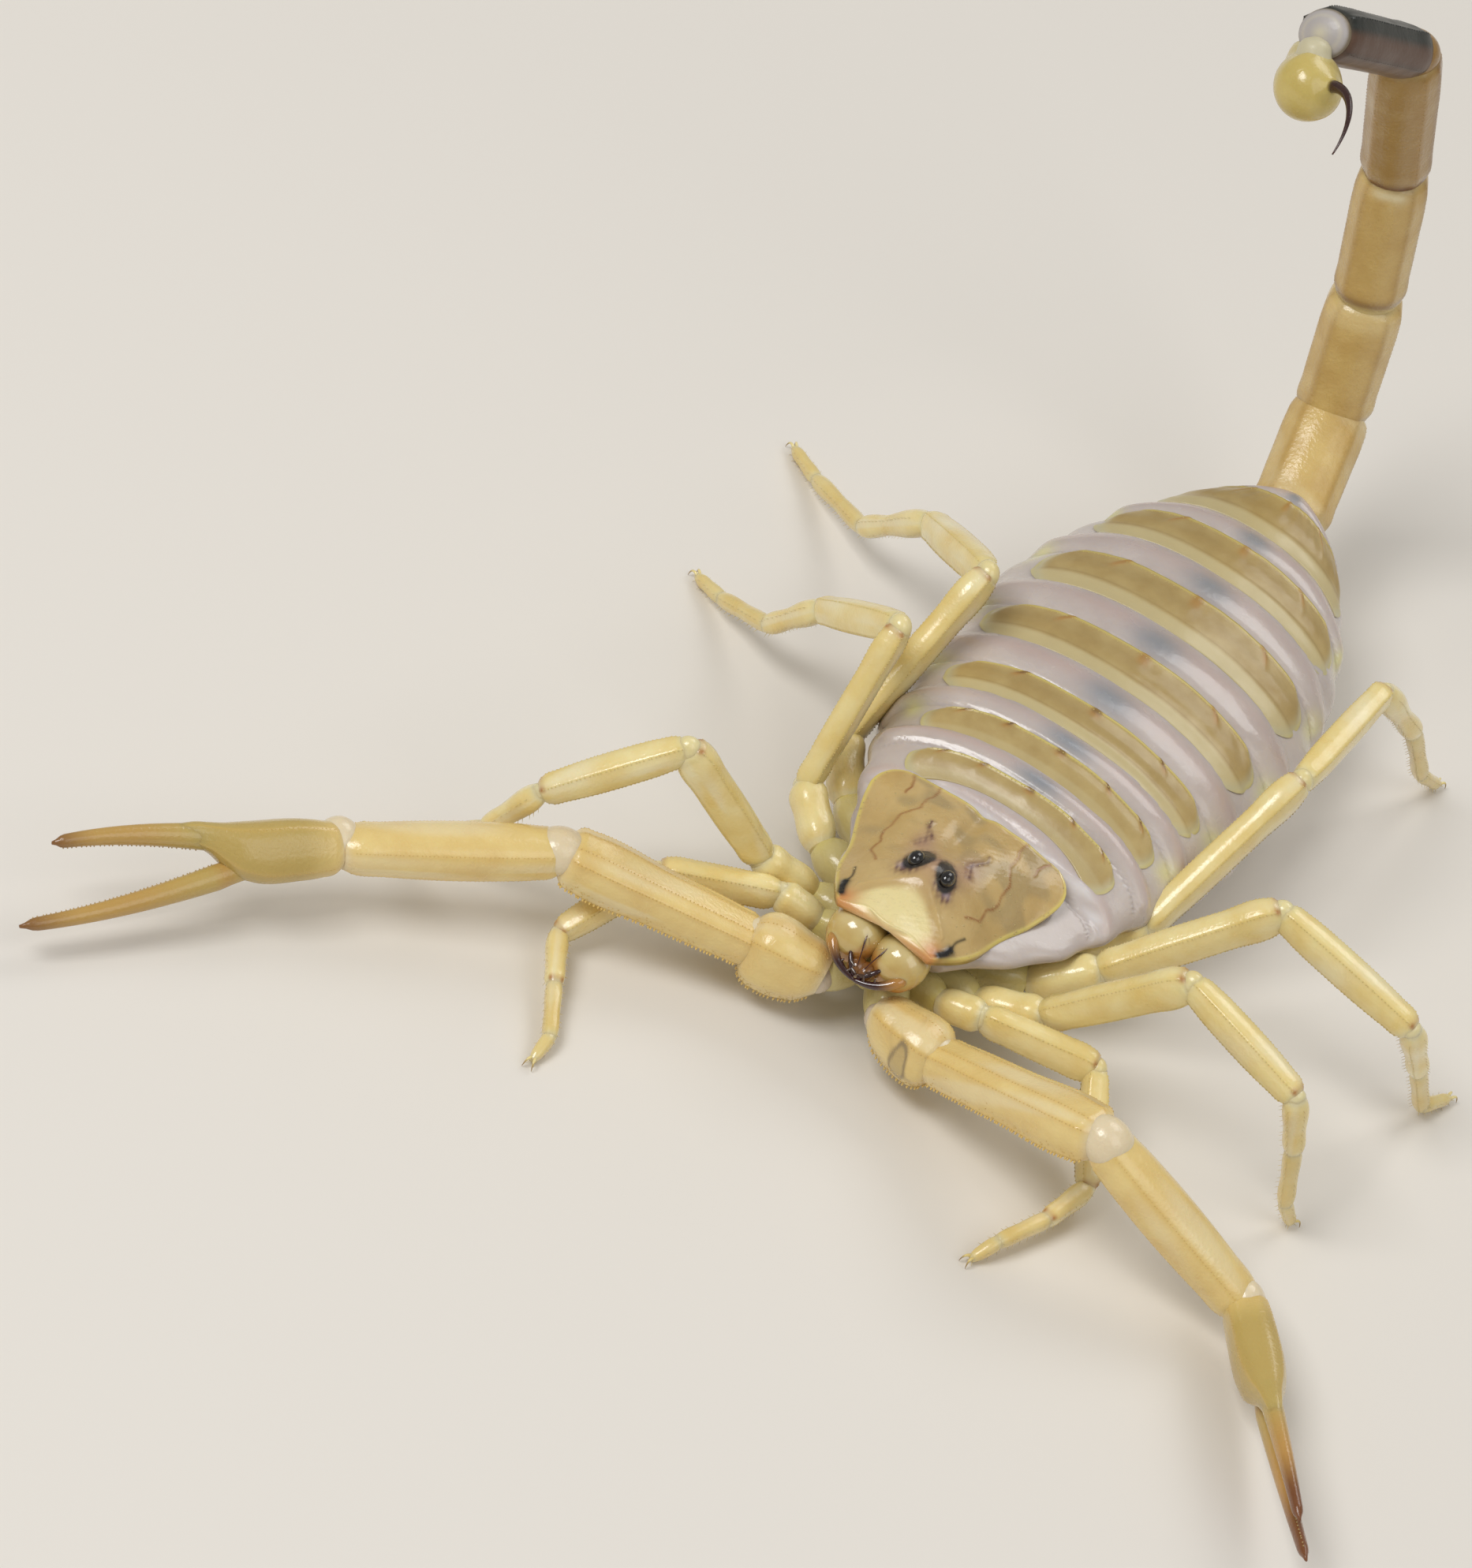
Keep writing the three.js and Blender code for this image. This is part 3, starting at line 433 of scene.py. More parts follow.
def plate_span(y, angle):
    """How far the skin at a place lies between two plates, 0 at the plate before and 1 at the next one;
    whether it lies between plates at all; and how far off the middle of the back it is, 1 at the side."""
    off_middle = (angle - np.pi / 2) / np.radians(HALF_BACK)
    level = y + CROWN * off_middle ** 2
    edges = [(COLLAR_FRONT, PLATES[0][0])] + [(a[1], b[0]) for a, b in zip(PLATES, PLATES[1:])]
    edges.append((PLATES[-1][1], BODY_REAR))
    span = np.zeros_like(level)
    inside = np.zeros_like(level)
    for start, end in edges:
        within = (level > start) & (level < end)
        span = np.where(within, (level - start) / (end - start), span)
        inside = np.where(within, 1.0, inside)
    return span, inside, off_middle


# %% the skin's folds and marks
def skin_patch(rows=330, columns=250):
    """The body's surface, swollen between the plates, wrinkled behind the head shield and at the sides."""
    t = np.linspace(0, 1, rows)[:, None]
    y = BODY_FRONT + (BODY_REAR - BODY_FRONT) * (0.7 * t + 0.3 * (0.5 - 0.5 * np.cos(np.pi * t)))
    angle = np.linspace(-np.pi / 2, 3 * np.pi / 2, columns, endpoint=False)[None, :]
    y, angle = np.broadcast_arrays(y, angle)
    span, inside, off = plate_span(y, angle)
    on_back = smooth((np.sin(angle) + 0.1) / 0.5) * smooth((1.5 - np.abs(off)) / 0.3)
    swell = inside * np.sin(np.pi * span) ** 0.8 * 0.26 * on_back * (1 - 0.75 * (y < 14.5))
    tucks = inside * on_back * (bell(span - 0.05, 0.06) * -0.18)
    level = y + CROWN * off ** 2
    collar = bell(level - COLLAR_LEVEL, 0.55) * on_back
    crease = collar * (0.13 * np.sin(4.2 * y + 2.2 * ripple(3, 3.2 * angle, 0.6 * y))
                       + 0.08 * ripple(4, 9 * angle, 2 * y))
    side = bell(np.abs(np.abs(off) - 1.55), 0.5)
    folds = side * (0.13 * np.sin(2 * np.pi * (y - 14) / 3.3 + 0.6 * np.sin(2 * angle))
                    + 0.07 * ripple(5, 0.9 * y, 5 * angle))
    grow = swell + tucks + crease + folds + 0.03 * ripple(6, 2.2 * y, 6 * angle)
    marks = {
        "pink": inside * on_back * (0.55 + 0.35 * ripple(7, y, 3 * angle)) * bell(span - 0.7, 0.3),
        "heart": inside * bell(off, 0.13) * bell(span - 0.5, 0.42) * 0.9 * (y > 15.5),
        "patch": 0 * y,
        "shadow": 0.55 * bell(np.abs(off) - 1.75, 0.35) * bell(y - 9.0, 5.0),
        "pale": collar * (0.55 + 0.4 * ripple(8, 4 * y, 7 * angle)),
    }
    for front, rear, reach in PLATES[1:]:
        end = np.radians(reach) / np.radians(HALF_BACK) + 0.1
        blot = bell(np.abs(off) - end - 0.05, 0.13) * bell(y - rear + 1.3, 0.2 * (rear - front) + 0.5)
        marks["patch"] = np.maximum(marks["patch"], blot * (0.75 + 0.25 * ripple(9, 3 * y, 14 * angle)))
    return sheet(body_point(y, angle, grow), wrap=True, caps=(True, True), **marks)


build("soft_skin", [skin_patch()], skin, ["soft_body"])


# %% [markdown]
# ## The back plates
# Seven plates lie across the back like bands. Each one is thin in front, where it sinks into the skin,
# and its rear edge stands free with a bright rolled rim. The profile from front to rear is one closed
# loop, carried along the body's own curve from side to side, so a plate hugs the skin everywhere. A
# Solidify modifier would give even walls, while this loop can taper.

# %% one back plate
UNDERSIDE = 0.12      # how far a plate's underside lies below the skin


def plate_patches(front, rear, reach, keels, rows=30, columns=150):
    """A closed loop (top from front to rear, down the rim, back under) swept from side to side."""
    top = np.linspace(0, 1, rows)
    loop_s = np.concatenate([top, [1.0, 0.98], np.linspace(0.94, 0.02, 6)])
    is_top = np.concatenate([np.ones(rows), np.zeros(8)])
    depth = np.concatenate([np.zeros(rows), [0.35, 0.8], np.ones(6)])
    across = np.sin(np.linspace(-1, 1, columns) * np.pi / 2 * 0.995) / np.sin(np.pi / 2 * 0.995)
    s, x = np.meshgrid(loop_s, across, indexing="ij")
    flag, down = is_top[:, None] + 0 * x, depth[:, None] + 0 * x
    rounded = 1 - 0.17 * np.abs(2 * s - 1) ** 2.6
    angle = np.pi / 2 - x * np.radians(reach) * rounded
    length = rear - front
    wave = 0.05 * ripple(int(front), 2 * x) + 0.04 * np.sin(9 * x)
    y = front + length * s + wave * s - CROWN * x * x - (1 - s) * 0.5 * x * x * (front < 20)
    from_rear = (1 - s) * length
    from_end = (1 - np.abs(x)) * np.radians(reach) * 10
    rim = np.maximum(bell(from_rear - 0.06, 0.1), 0.5 * bell(from_end - 0.1, 0.25) * smooth(s * 3))
    lift = 0.02 + 0.24 * smooth(s * 1.5) * smooth(from_end / 1.6 + 0.15)
    hollow = -0.1 * bell(s - 0.42, 0.12) + 0.06 * bell(s - 0.25, 0.1)
    dimples = 0.08 * ripple(int(front) + 40, 34 * x, 7 * s) * smooth(s * 4 - 1.4)
    ridge = sum(bell((x - place) * np.radians(reach) * 10, 0.22) for place in keels)
    ridge = ridge * smooth(s * 2.5 - 0.8)
    height = lift + 0.5 * hollow * (length > 2) + 0.35 * dimples * (length > 3) + 0.07 * rim + 0.05 * ridge
    grow = height - down * (height + UNDERSIDE)
    tick = sum(bell((x - place) * np.radians(reach) * 10, 0.14) for place in keels) * smooth(s * 6 - 4.6)
    marks = {
        "rim": rim * flag, "keel": np.clip(0.75 * ridge * smooth(s * 4 - 2.4), 0, 1),
        "black": np.clip(tick, 0, 1) * (0.75 if rear < 25 else 0.15) * flag,
        "band": np.maximum(0.36 * bell(s - 0.62, 0.22), 0.42 * bell(s - 0.34, 0.03)) * (length > 2),
        "fore": (0.35 if front < 20 else 0.7) * (1 - smooth((s - 0.24) / 0.1)),
        "tip": 0.9 * smooth((np.abs(x) - 0.84) / 0.15),
    }
    plate = sheet(np.swapaxes(body_point(y, angle, grow), 0, 1), wrap=True, caps=(True, True),
                  **{name: np.swapaxes(mark + 0 * x, 0, 1) for name, mark in marks.items()})
    row = rows - 3
    line, inner = (body_point(y[row], angle[row], grow[row] + lift) for lift in (0, -1))
    places, outs, ahead = spaced(line, unit(line - inner), 0.33, int(front) + 60, 0.03, 0.97)
    return [plate, beads(places, outs, ahead, 0.055, 0.035, rim=0.6)]


FIVE_KEELS, THREE_KEELS = (-0.72, -0.36, 0, 0.36, 0.72), (-0.5, 0, 0.5)
for number, (front, rear, reach) in enumerate(PLATES, start=1):
    keels = FIVE_KEELS if number < 3 else THREE_KEELS
    build(f"back_plate_shell_{number}", plate_patches(front, rear, reach, keels), ring_shell,
          [f"back_plate_{number}"])

# %% [markdown]
# ## The head shield
# The shield over the head is one smooth, glassy plate, narrow in front and wide behind, with a low hill
# that carries the two main eyes. Its upper surface is a height over (across, along): a ridge that falls
# to both sides, plus bells for the hill, the rolled rim and the dark wavy keels. The keels follow a few
# named places on the shield; the distance to that curve gives both their height and their colour. It could
# be sculpted and painted, but here the keels, the colours and the eyes all read the same numbers.

# %% the shield's shape
CARAPACE_LENGTH = 12.6
EYE_HILL_Y, EYE_SPREAD = 4.3, 1.08
SHIELD_HEIGHT = 9.6
SHIELD_EDGE = [(0, 3.15), (0.03, 3.5), (0.1, 3.95), (0.28, 4.85), (0.48, 5.3), (0.68, 6.2), (0.8, 6.65),
               (0.87, 6.75), (0.93, 6.5), (0.97, 6.0), (0.99, 5.5), (1, 5.0)]


def shield_half_width(along):
    """Half the shield's width, from its front at 0 to its rear at 1, as a curve through SHIELD_EDGE."""
    keys, halves = zip(*SHIELD_EDGE)
    return through(keys, halves, along)


def shield_point(across, along):
    """The shield's upper surface: ridge less the fall to the sides, plus the eye hill and two shoulders,
    less a furrow and two hollows. Arches set the front margin back above the jaws."""
    half = shield_half_width(along)
    x = across * half
    arches = (0.35 * (1 - across ** 2) + 0.28 * bell(np.abs(x) - 1.5, 0.75)) * (1 - along) ** 5
    y = CARAPACE_FRONT + CARAPACE_LENGTH * along + 0.3 * across ** 2 * (1 - along) + arches
    ridge = SHIELD_HEIGHT + 0.3 * along + 0.5 * np.sin(np.pi * along)
    drop = (0.45 + 2 * np.sin(np.pi * along)) * np.abs(across) ** 2.4
    hill = 1.0 * bell(np.hypot(x, y - EYE_HILL_Y), 1.7)
    furrow = 0.28 * bell(x, 0.6) * smooth((along - 0.5) * 4)
    shoulders = 0.16 * bell(np.hypot(np.abs(x) - 2.2, (y - 9.3) / 1.4), 1.1) * smooth((along - 0.3) * 4)
    hollow = 0.14 * bell(np.hypot((np.abs(x) - 4.5) / 0.7, (y - 6.6) / 1.6), 1.0)
    return np.stack([x, y, ridge - drop + hill - furrow + shoulders - hollow], axis=-1)


def near_line(x, y, line, width):
    """How close a place is to a drawn line: a bell of its distance to the nearest of many fine points."""
    keys = np.arange(len(line))
    fine = through(keys, line, np.linspace(0, len(line) - 1, 60))
    distance = np.full(x.shape, 9.0)
    for px, py in fine:
        distance = np.minimum(distance, np.hypot(np.abs(x) - px, y - py))
    return bell(distance, width)


print("shield at its widest:", 2 * max(half for _, half in SHIELD_EDGE), "mm")

# %% the shield's marks
LONG_KEEL = [(3.0, 11.8), (3.15, 10.2), (3.3, 9.2), (3.85, 8.0), (3.95, 6.7), (3.8, 5.6), (3.75, 4.8),
             (3.2, 3.9)]
REAR_TICK = [(4.75, 11.7), (4.6, 10.9), (4.5, 10.1)]
EYE_HORN = [(2.0, 8.5), (1.85, 7.8), (1.5, 7.2), (1.55, 6.6), (1.8, 6.2)]
SIDE_EYES = [(3.4, 0.3), (3.6, 0.9), (3.7, 1.5)]
SIDE_EYE_TAIL = [(3.7, 1.5), (3.62, 2.2), (3.85, 3.0)]
GRAINS, CLEAR_ROUND_EYES = 150, 2.6


def shield_patches(rows=150, columns=190):
    """The upper surface, its rolled edge and the thin underside as one closed skin, and strewn grains."""
    along = np.linspace(0, 1, rows)[:, None]
    across = np.sin(np.linspace(-1, 1, columns) * np.pi / 2)[None, :]
    along, across = np.broadcast_arrays(along, across)
    top = shield_point(across, along)
    x, y = top[..., 0], top[..., 1]
    waved = x + (0.07 * np.sin(3.6 * y) + 0.02 * np.sin(9 * y)) * np.sign(x)
    from_side = (1 - np.abs(across)) * shield_half_width(along)
    from_front = along * CARAPACE_LENGTH
    from_rear = (1 - along) * CARAPACE_LENGTH
    edge = np.minimum(np.minimum(from_side, from_front), from_rear)
    rim = bell(edge - 0.07, 0.13)
    keel = np.maximum(near_line(waved, y, LONG_KEEL, 0.085), near_line(waved, y, REAR_TICK, 0.08))
    horn = near_line(waved, y, EYE_HORN, 0.2 + 0.1 * bell(y - 6.5, 0.8))
    behind = y - EYE_HILL_Y - 0.3
    pupil = np.hypot((np.abs(x) - 0.92 + 0.2 * behind) / 0.68, behind / 1.05)
    cheek = np.hypot((np.abs(x) - 1.45) / 0.6, (y - EYE_HILL_Y + 0.75) / 0.5)
    # painted sheen: a lilac-grey patch in front of and outside each eye stands for the shine of the glassy
    # shell there
    pearl = bell(np.hypot((np.abs(x) - 1.5) / 1.2, y - EYE_HILL_Y + 0.55), 0.24)
    mottle = 0.55 + 0.75 * ripple(15, 11 * x, 9 * y)
    side_eyes = near_line(x, y, SIDE_EYES, 0.27)
    lobe_edge = 2.95 - 0.3 * np.abs(x) ** 1.9 + 0.1 * ripple(11, 3 * x)
    lobe = smooth((lobe_edge - y) / 0.8) * smooth((3.5 - np.abs(x)) / 1.9)
    lift = 0.08 * rim + 0.05 * keel + 0.12 * side_eyes + 0.06 * horn
    lift = lift + 0.07 * bell(y - 3.2 + 0.3 * np.abs(x) ** 1.6, 0.22) * (np.abs(x) < 3)
    lift = lift + 0.09 * ripple(12, 1.5 * x, 1.3 * y) + 0.017 * ripple(13, 5 * x, 4 * y)
    top = top + np.stack([0 * x, 0 * x, lift], axis=-1)
    under = top - np.array([0, 0, 0.5])
    under[..., 0] *= 0.985
    grid = np.concatenate([top, under[:, ::-1]], axis=1)
    speck = smooth((ripple(14, 19 * x, 17 * y) - 0.42) / 0.1)
    marks = {
        "smudge": np.clip(0.9 * smooth((ripple(17, 1.4 * x, 1.2 * y) + 0.05) / 0.6) * (1 - lobe)
                          * smooth((y - 4) / 3), 0, 0.45),
        "rim": 0.9 * rim * smooth(from_front / 0.5) * (0.75 + 0.3 * ripple(18, 3 * x, 3 * y)),
        "keel": np.clip(keel * (0.8 + 0.35 * ripple(19, 2 * x, 2.6 * y)), 0, 0.95),
        "lobe": lobe * 0.95,
        "corner": 0.85 * bell(np.hypot(np.abs(x) - 3.2, y - 0.1), 0.8) + 0.15 * bell(y + 0.45, 0.3),
        "veil": np.clip(0.7 * bell(np.hypot(x / 1.5, (y - EYE_HILL_Y - 0.6) / 1.5), 1.1)
                        + 0.6 * bell(np.hypot((np.abs(x) - 1.6) / 0.7, (y - 6.6) / 1.3), 1.0), 0, 0.8),
        "horn": np.clip(horn * mottle + bell(cheek, 0.9) * mottle
                        + 0.8 * bell(pupil - 1.1, 0.3) * mottle, 0, 0.9),
        "pearl": 0.8 * pearl,
        "halo": np.clip(bell(np.maximum(pupil - 0.95, 0), 0.14) + 0.1 * speck * lobe, 0, 0.95),
        "black": np.clip(side_eyes * 1.2 + 0.8 * near_line(x, y, SIDE_EYE_TAIL, 0.08), 0, 1),
    }
    both = {name: np.concatenate([mark, mark[:, ::-1]], axis=1) for name, mark in marks.items()}
    draw = np.random.default_rng(21)
    row = draw.integers(34, rows - 4, GRAINS)
    column = draw.integers(10, columns - 10, GRAINS)
    clear = np.hypot(x[row, column], y[row, column] - EYE_HILL_Y) > CLEAR_ROUND_EYES
    row, column = row[clear], column[clear]
    ahead = top[row + 1, column] - top[row - 1, column]
    outs = unit(np.cross(top[row, column + 1] - top[row, column - 1], ahead))
    size = draw.uniform(0.035, 0.075, len(row))
    grains = beads(top[row, column], outs * np.sign(outs[:, 2:]), ahead, size, 0.75 * size, rim=0.25)
    return [sheet(grid, wrap=True, caps=(True, True), **both), grains]


build("head_shield", shield_patches(), head_shell, ["carapace"])


# %% [markdown]
# ## Eyes
# The main eyes are two glassy black domes. A ball is a grid in longitude and latitude; squeezed along
# each axis it becomes the low dome that sits in the shield. Blender's own sphere would look the same, but
# this one also makes the skin at the joints, with marks for its colours.

# %% balls, and the two eyes
POLE_GAP = 0.06       # how far from its poles a ball's first and last rings lie, in radians


def ball(centre, radii, axes=np.eye(3), rows=14, columns=20, **marks):
    """An ellipsoid: latitude runs from pole to pole along the first axis, longitude around it."""
    latitude = np.linspace(POLE_GAP, np.pi - POLE_GAP, rows)[:, None]
    longitude = np.linspace(0, 2 * np.pi, columns, endpoint=False)[None, :]
    local = np.stack([-np.cos(latitude) + 0 * longitude, np.sin(latitude) * np.cos(longitude),
                      np.sin(latitude) * np.sin(longitude)], axis=-1) * np.asarray(radii)
    return sheet(placed(local, np.asarray(centre), axes), wrap=True, caps=(True, True), **marks)


EYE_RADII = (0.48, 0.6, 0.5)


def eye_centre(side):
    """Where an eye sits: the shield's upper surface at the eye hill, to the left or the right."""
    along = (EYE_HILL_Y - CARAPACE_FRONT) / CARAPACE_LENGTH
    top = shield_point(np.array(side * EYE_SPREAD / shield_half_width(along)), np.array(along))
    return np.array([side * EYE_SPREAD, EYE_HILL_Y + 0.05, top[2] + 0.04])


for side, label in ((1, "left"), (-1, "right")):
    build(f"eye_dome_{label}", [ball(eye_centre(side), EYE_RADII, rows=24, columns=32)],
          eye_glass, [f"eye_{label}"])

# %% [markdown]
# ## Limbs
# Legs, arms and tail are chains of shells. A shell is a tube whose width, depth and lift change along it
# and whose section is a rounded square with sharp keels standing on it. The tube is worked out along its
# own straight axis and then laid along its heading. Rows of granules, tiny domes, sit on the keels. A
# Blender curve with a bevel would give the tube, but not keels of their own height or a line for granules.

# %% tubes with keels
def tube(stations, place, axes, keels=(), power=2.3, rows=46, sides=48, **marks):
    """A shell along its own axis. stations: distance, width, depth, lift, sway. keels: angle in degrees,
    height in millimetres, width in degrees. marks: functions of (distance, angle) or plain values."""
    stations = np.array([[*station, 0, 0][:5] for station in stations], float)
    t = np.linspace(0, 1, rows)
    t = 0.45 * t + 0.55 * (0.5 - 0.5 * np.cos(np.pi * t))
    x = stations[0, 0] + (stations[-1, 0] - stations[0, 0]) * t
    width, depth, lift, sway = np.moveaxis(through(stations[:, 0], stations[:, 1:], x), -1, 0)[..., None]
    angle = np.linspace(0, 2 * np.pi, sides, endpoint=False)[None, :]
    across = np.sign(np.cos(angle)) * np.abs(np.cos(angle)) ** (2 / power)
    raised = np.sign(np.sin(angle)) * np.abs(np.sin(angle)) ** (2 / power)
    crest = 0 * x[:, None] + 0 * angle
    ends = smooth((x[:, None] - x[0]) / 1.2) * smooth((x[-1] - x[:, None]) / 0.8)
    for keel_angle, height, spread in keels:
        off = np.degrees(np.angle(np.exp(1j * (angle - np.radians(keel_angle)))))
        crest = crest + height * bell(off, spread) * ends
    local = np.stack([x[:, None] + 0 * angle,
                      across * width / 2 + crest * np.cos(angle) + sway,
                      raised * depth / 2 + crest * np.sin(angle) + lift], axis=-1)
    given = {name: mark(x[:, None] + 0 * angle, angle + 0 * x[:, None]) if callable(mark) else mark
             for name, mark in marks.items()}
    return sheet(placed(local, place, axes), wrap=True, caps=(True, True), **given)


def keel_line(patch_grid, rows, sides, angle):
    """The points of a tube along one angle, from the grid that the tube was made of."""
    grid = patch_grid["points"][:rows * sides].reshape(rows, sides, 3)
    column = int(round((angle % 360) / 360 * sides)) % sides
    line = grid[:, column]
    return line, unit(line - grid.mean(axis=1))


# %% granules strewn beside a keel
def scattered(patch_grid, rows, sides, angle, spread, count, seed):
    """Places strewn about one angle of a tube, denser near it, each with its outward direction."""
    draw = np.random.default_rng(seed)
    grid = patch_grid["points"][:rows * sides].reshape(rows, sides, 3)
    row = draw.uniform(0.1, 0.92, count) * (rows - 1)
    column = ((angle + draw.normal(0, spread, count)) % 360) / 360 * sides
    low, left = row.astype(int), column.astype(int) % sides
    share, slide = (row - low)[:, None], (column % 1)[:, None]
    near = grid[low, left] * (1 - slide) + grid[low, (left + 1) % sides] * slide
    far = grid[low + 1, left] * (1 - slide) + grid[low + 1, (left + 1) % sides] * slide
    places = near * (1 - share) + far * share
    ahead = np.broadcast_to(unit(grid[-1, 0] - grid[0, 0]), places.shape)
    return places, unit(places - grid.mean(axis=1)[low]), ahead


# %% spines and bristles
def spikes(places, ways, length, radius, **marks):
    """Many thin cones as one patch: two square rings, the second narrower, and a point."""
    ways = unit(np.atleast_2d(ways))
    count = len(places)
    first = unit(np.cross(ways, [0.37, 0.61, 0.7]))
    second = np.cross(ways, first)
    turn = np.arange(4) * np.pi / 2
    ring = first[:, None] * np.cos(turn)[None, :, None] + second[:, None] * np.sin(turn)[None, :, None]
    length = np.broadcast_to(length, count)[:, None]
    base = places[:, None] - ways[:, None] * 0.05 + ring * radius
    waist = places[:, None] + (ways * length * 0.55)[:, None] + ring * radius * 0.62
    points = np.concatenate([base, waist, (places + ways * length)[:, None]], axis=1)
    here, there = np.arange(4), (np.arange(4) + 1) % 4
    quads = np.stack([here, there, there + 4, here + 4], axis=-1)
    fan = np.stack([here + 4, there + 4, np.full(4, 8)], axis=-1)
    shift = (np.arange(count) * 9)[:, None, None]
    return {"points": points.reshape(-1, 3), "quads": (quads[None] + shift).reshape(-1, 4),
            "triangles": (fan[None] + shift).reshape(-1, 3),
            "marks": {name: np.full(count * 9, value) for name, value in marks.items()}}


# %% [markdown]
# ## Legs
# Each leg has a hip ring, a thigh, a long knee shell, a shin and two foot pieces, ending in two small
# claws. Pale skin shows at the joints as small balls between the shells. One leg could be modelled and
# copied, but each leg stands in its own way. So the turns and rises are written down, the same ones that
# the solid legs were built with, and every shell falls on its solid.

# %% leg measures
# where the four legs of the left side leave the body
HIPS = [(4.4, 1.9, 4.7), (5.9, 4.0, 4.3), (7.4, 8.0, 4.1), (8.2, 12.6, 4.1)]
# hip ring, thigh, knee shell, shin, long foot and short foot of the four legs of one side, from the front
LEG_LENGTHS = [(2.6, 7.3, 7, 3.9, 3.7, 2.2), (4.1, 10.2, 8.9, 5, 5, 3), (4.2, 11.4, 10.2, 6.4, 5.2, 3.2),
               (4.4, 13, 10.7, 8.8, 6.6, 3.8)]
LEG_GIRTHS = [0.92, 0.97, 1, 1.04]    # how thick each leg is, compared with the third
# turn and rise of those lengths but the last, in degrees, and the turn of the toe
LEG_WAYS = {
    "left": [((4, 14), (11, 2), (-53, -34), (-101, -4), (-111, -3), -115),
             ((8, 21), (9, 48), (-12, -8), (46, -70), (46, -74), 61),
             ((36, 26), (37, 37), (-1, -11), (70, -57), (70, -59), 70),
             ((47, 25), (75, 36), (88, 3), (71, -45), (71, -56), 71)],
    "right": [((-168, 14), (-151, -5), (-114, -25), (-60, -5), (-60, -8), -88),
              ((-149, 28), (-146, 48), (-141, -33), (-168, -64), (-168, -40), -168),
              ((137, 12), (89, 65), (140, -40), (149, -54), (149, -27), 149),
              ((125, 14), (79, 46), (131, -28), (142, -47), (142, -18), 142)],
}
TOE_DEPTH = 0.9       # of the solid's eight-sided toe, which lies level on a flat side
TOE_CUT = 0.4         # how much shorter than the short foot the slope down to the toe is
LEG_KEEL_ANGLES = (48, 132, -48, -132)
BRISTLE_ROWS = ((-55, 0.32), (-125, 0.32), (20, 0.22), (160, 0.22))    # angle and length
print("lengths of the legs:", [round(sum(lengths), 1) for lengths in LEG_LENGTHS])


def leg_joints(label, number):
    """The seven headings and seven joints of a leg, and its lengths. The sixth heading falls just so far
    that the toe meets the floor, and the seventh, the toe's own, is level."""
    lengths = LEG_LENGTHS[number - 1]
    *ways, toe_turn = LEG_WAYS[label][number - 1]
    place = np.array(HIPS[number - 1]) * ((1, 1, 1) if label == "left" else (-1, 1, 1))
    joints = [place]
    for way, length in zip(ways, lengths):
        joints.append(joints[-1] + heading(*way) * length)
    toe_height = TOE_DEPTH / 2 * math.cos(math.pi / 8)
    descent = lengths[5] - TOE_CUT
    fall = -math.degrees(math.asin((joints[-1][2] - toe_height) / descent))
    ways = [*ways, (toe_turn, fall), (toe_turn, 0)]
    joints.append(joints[-1] + heading(toe_turn, fall) * descent)
    return ways, joints, lengths


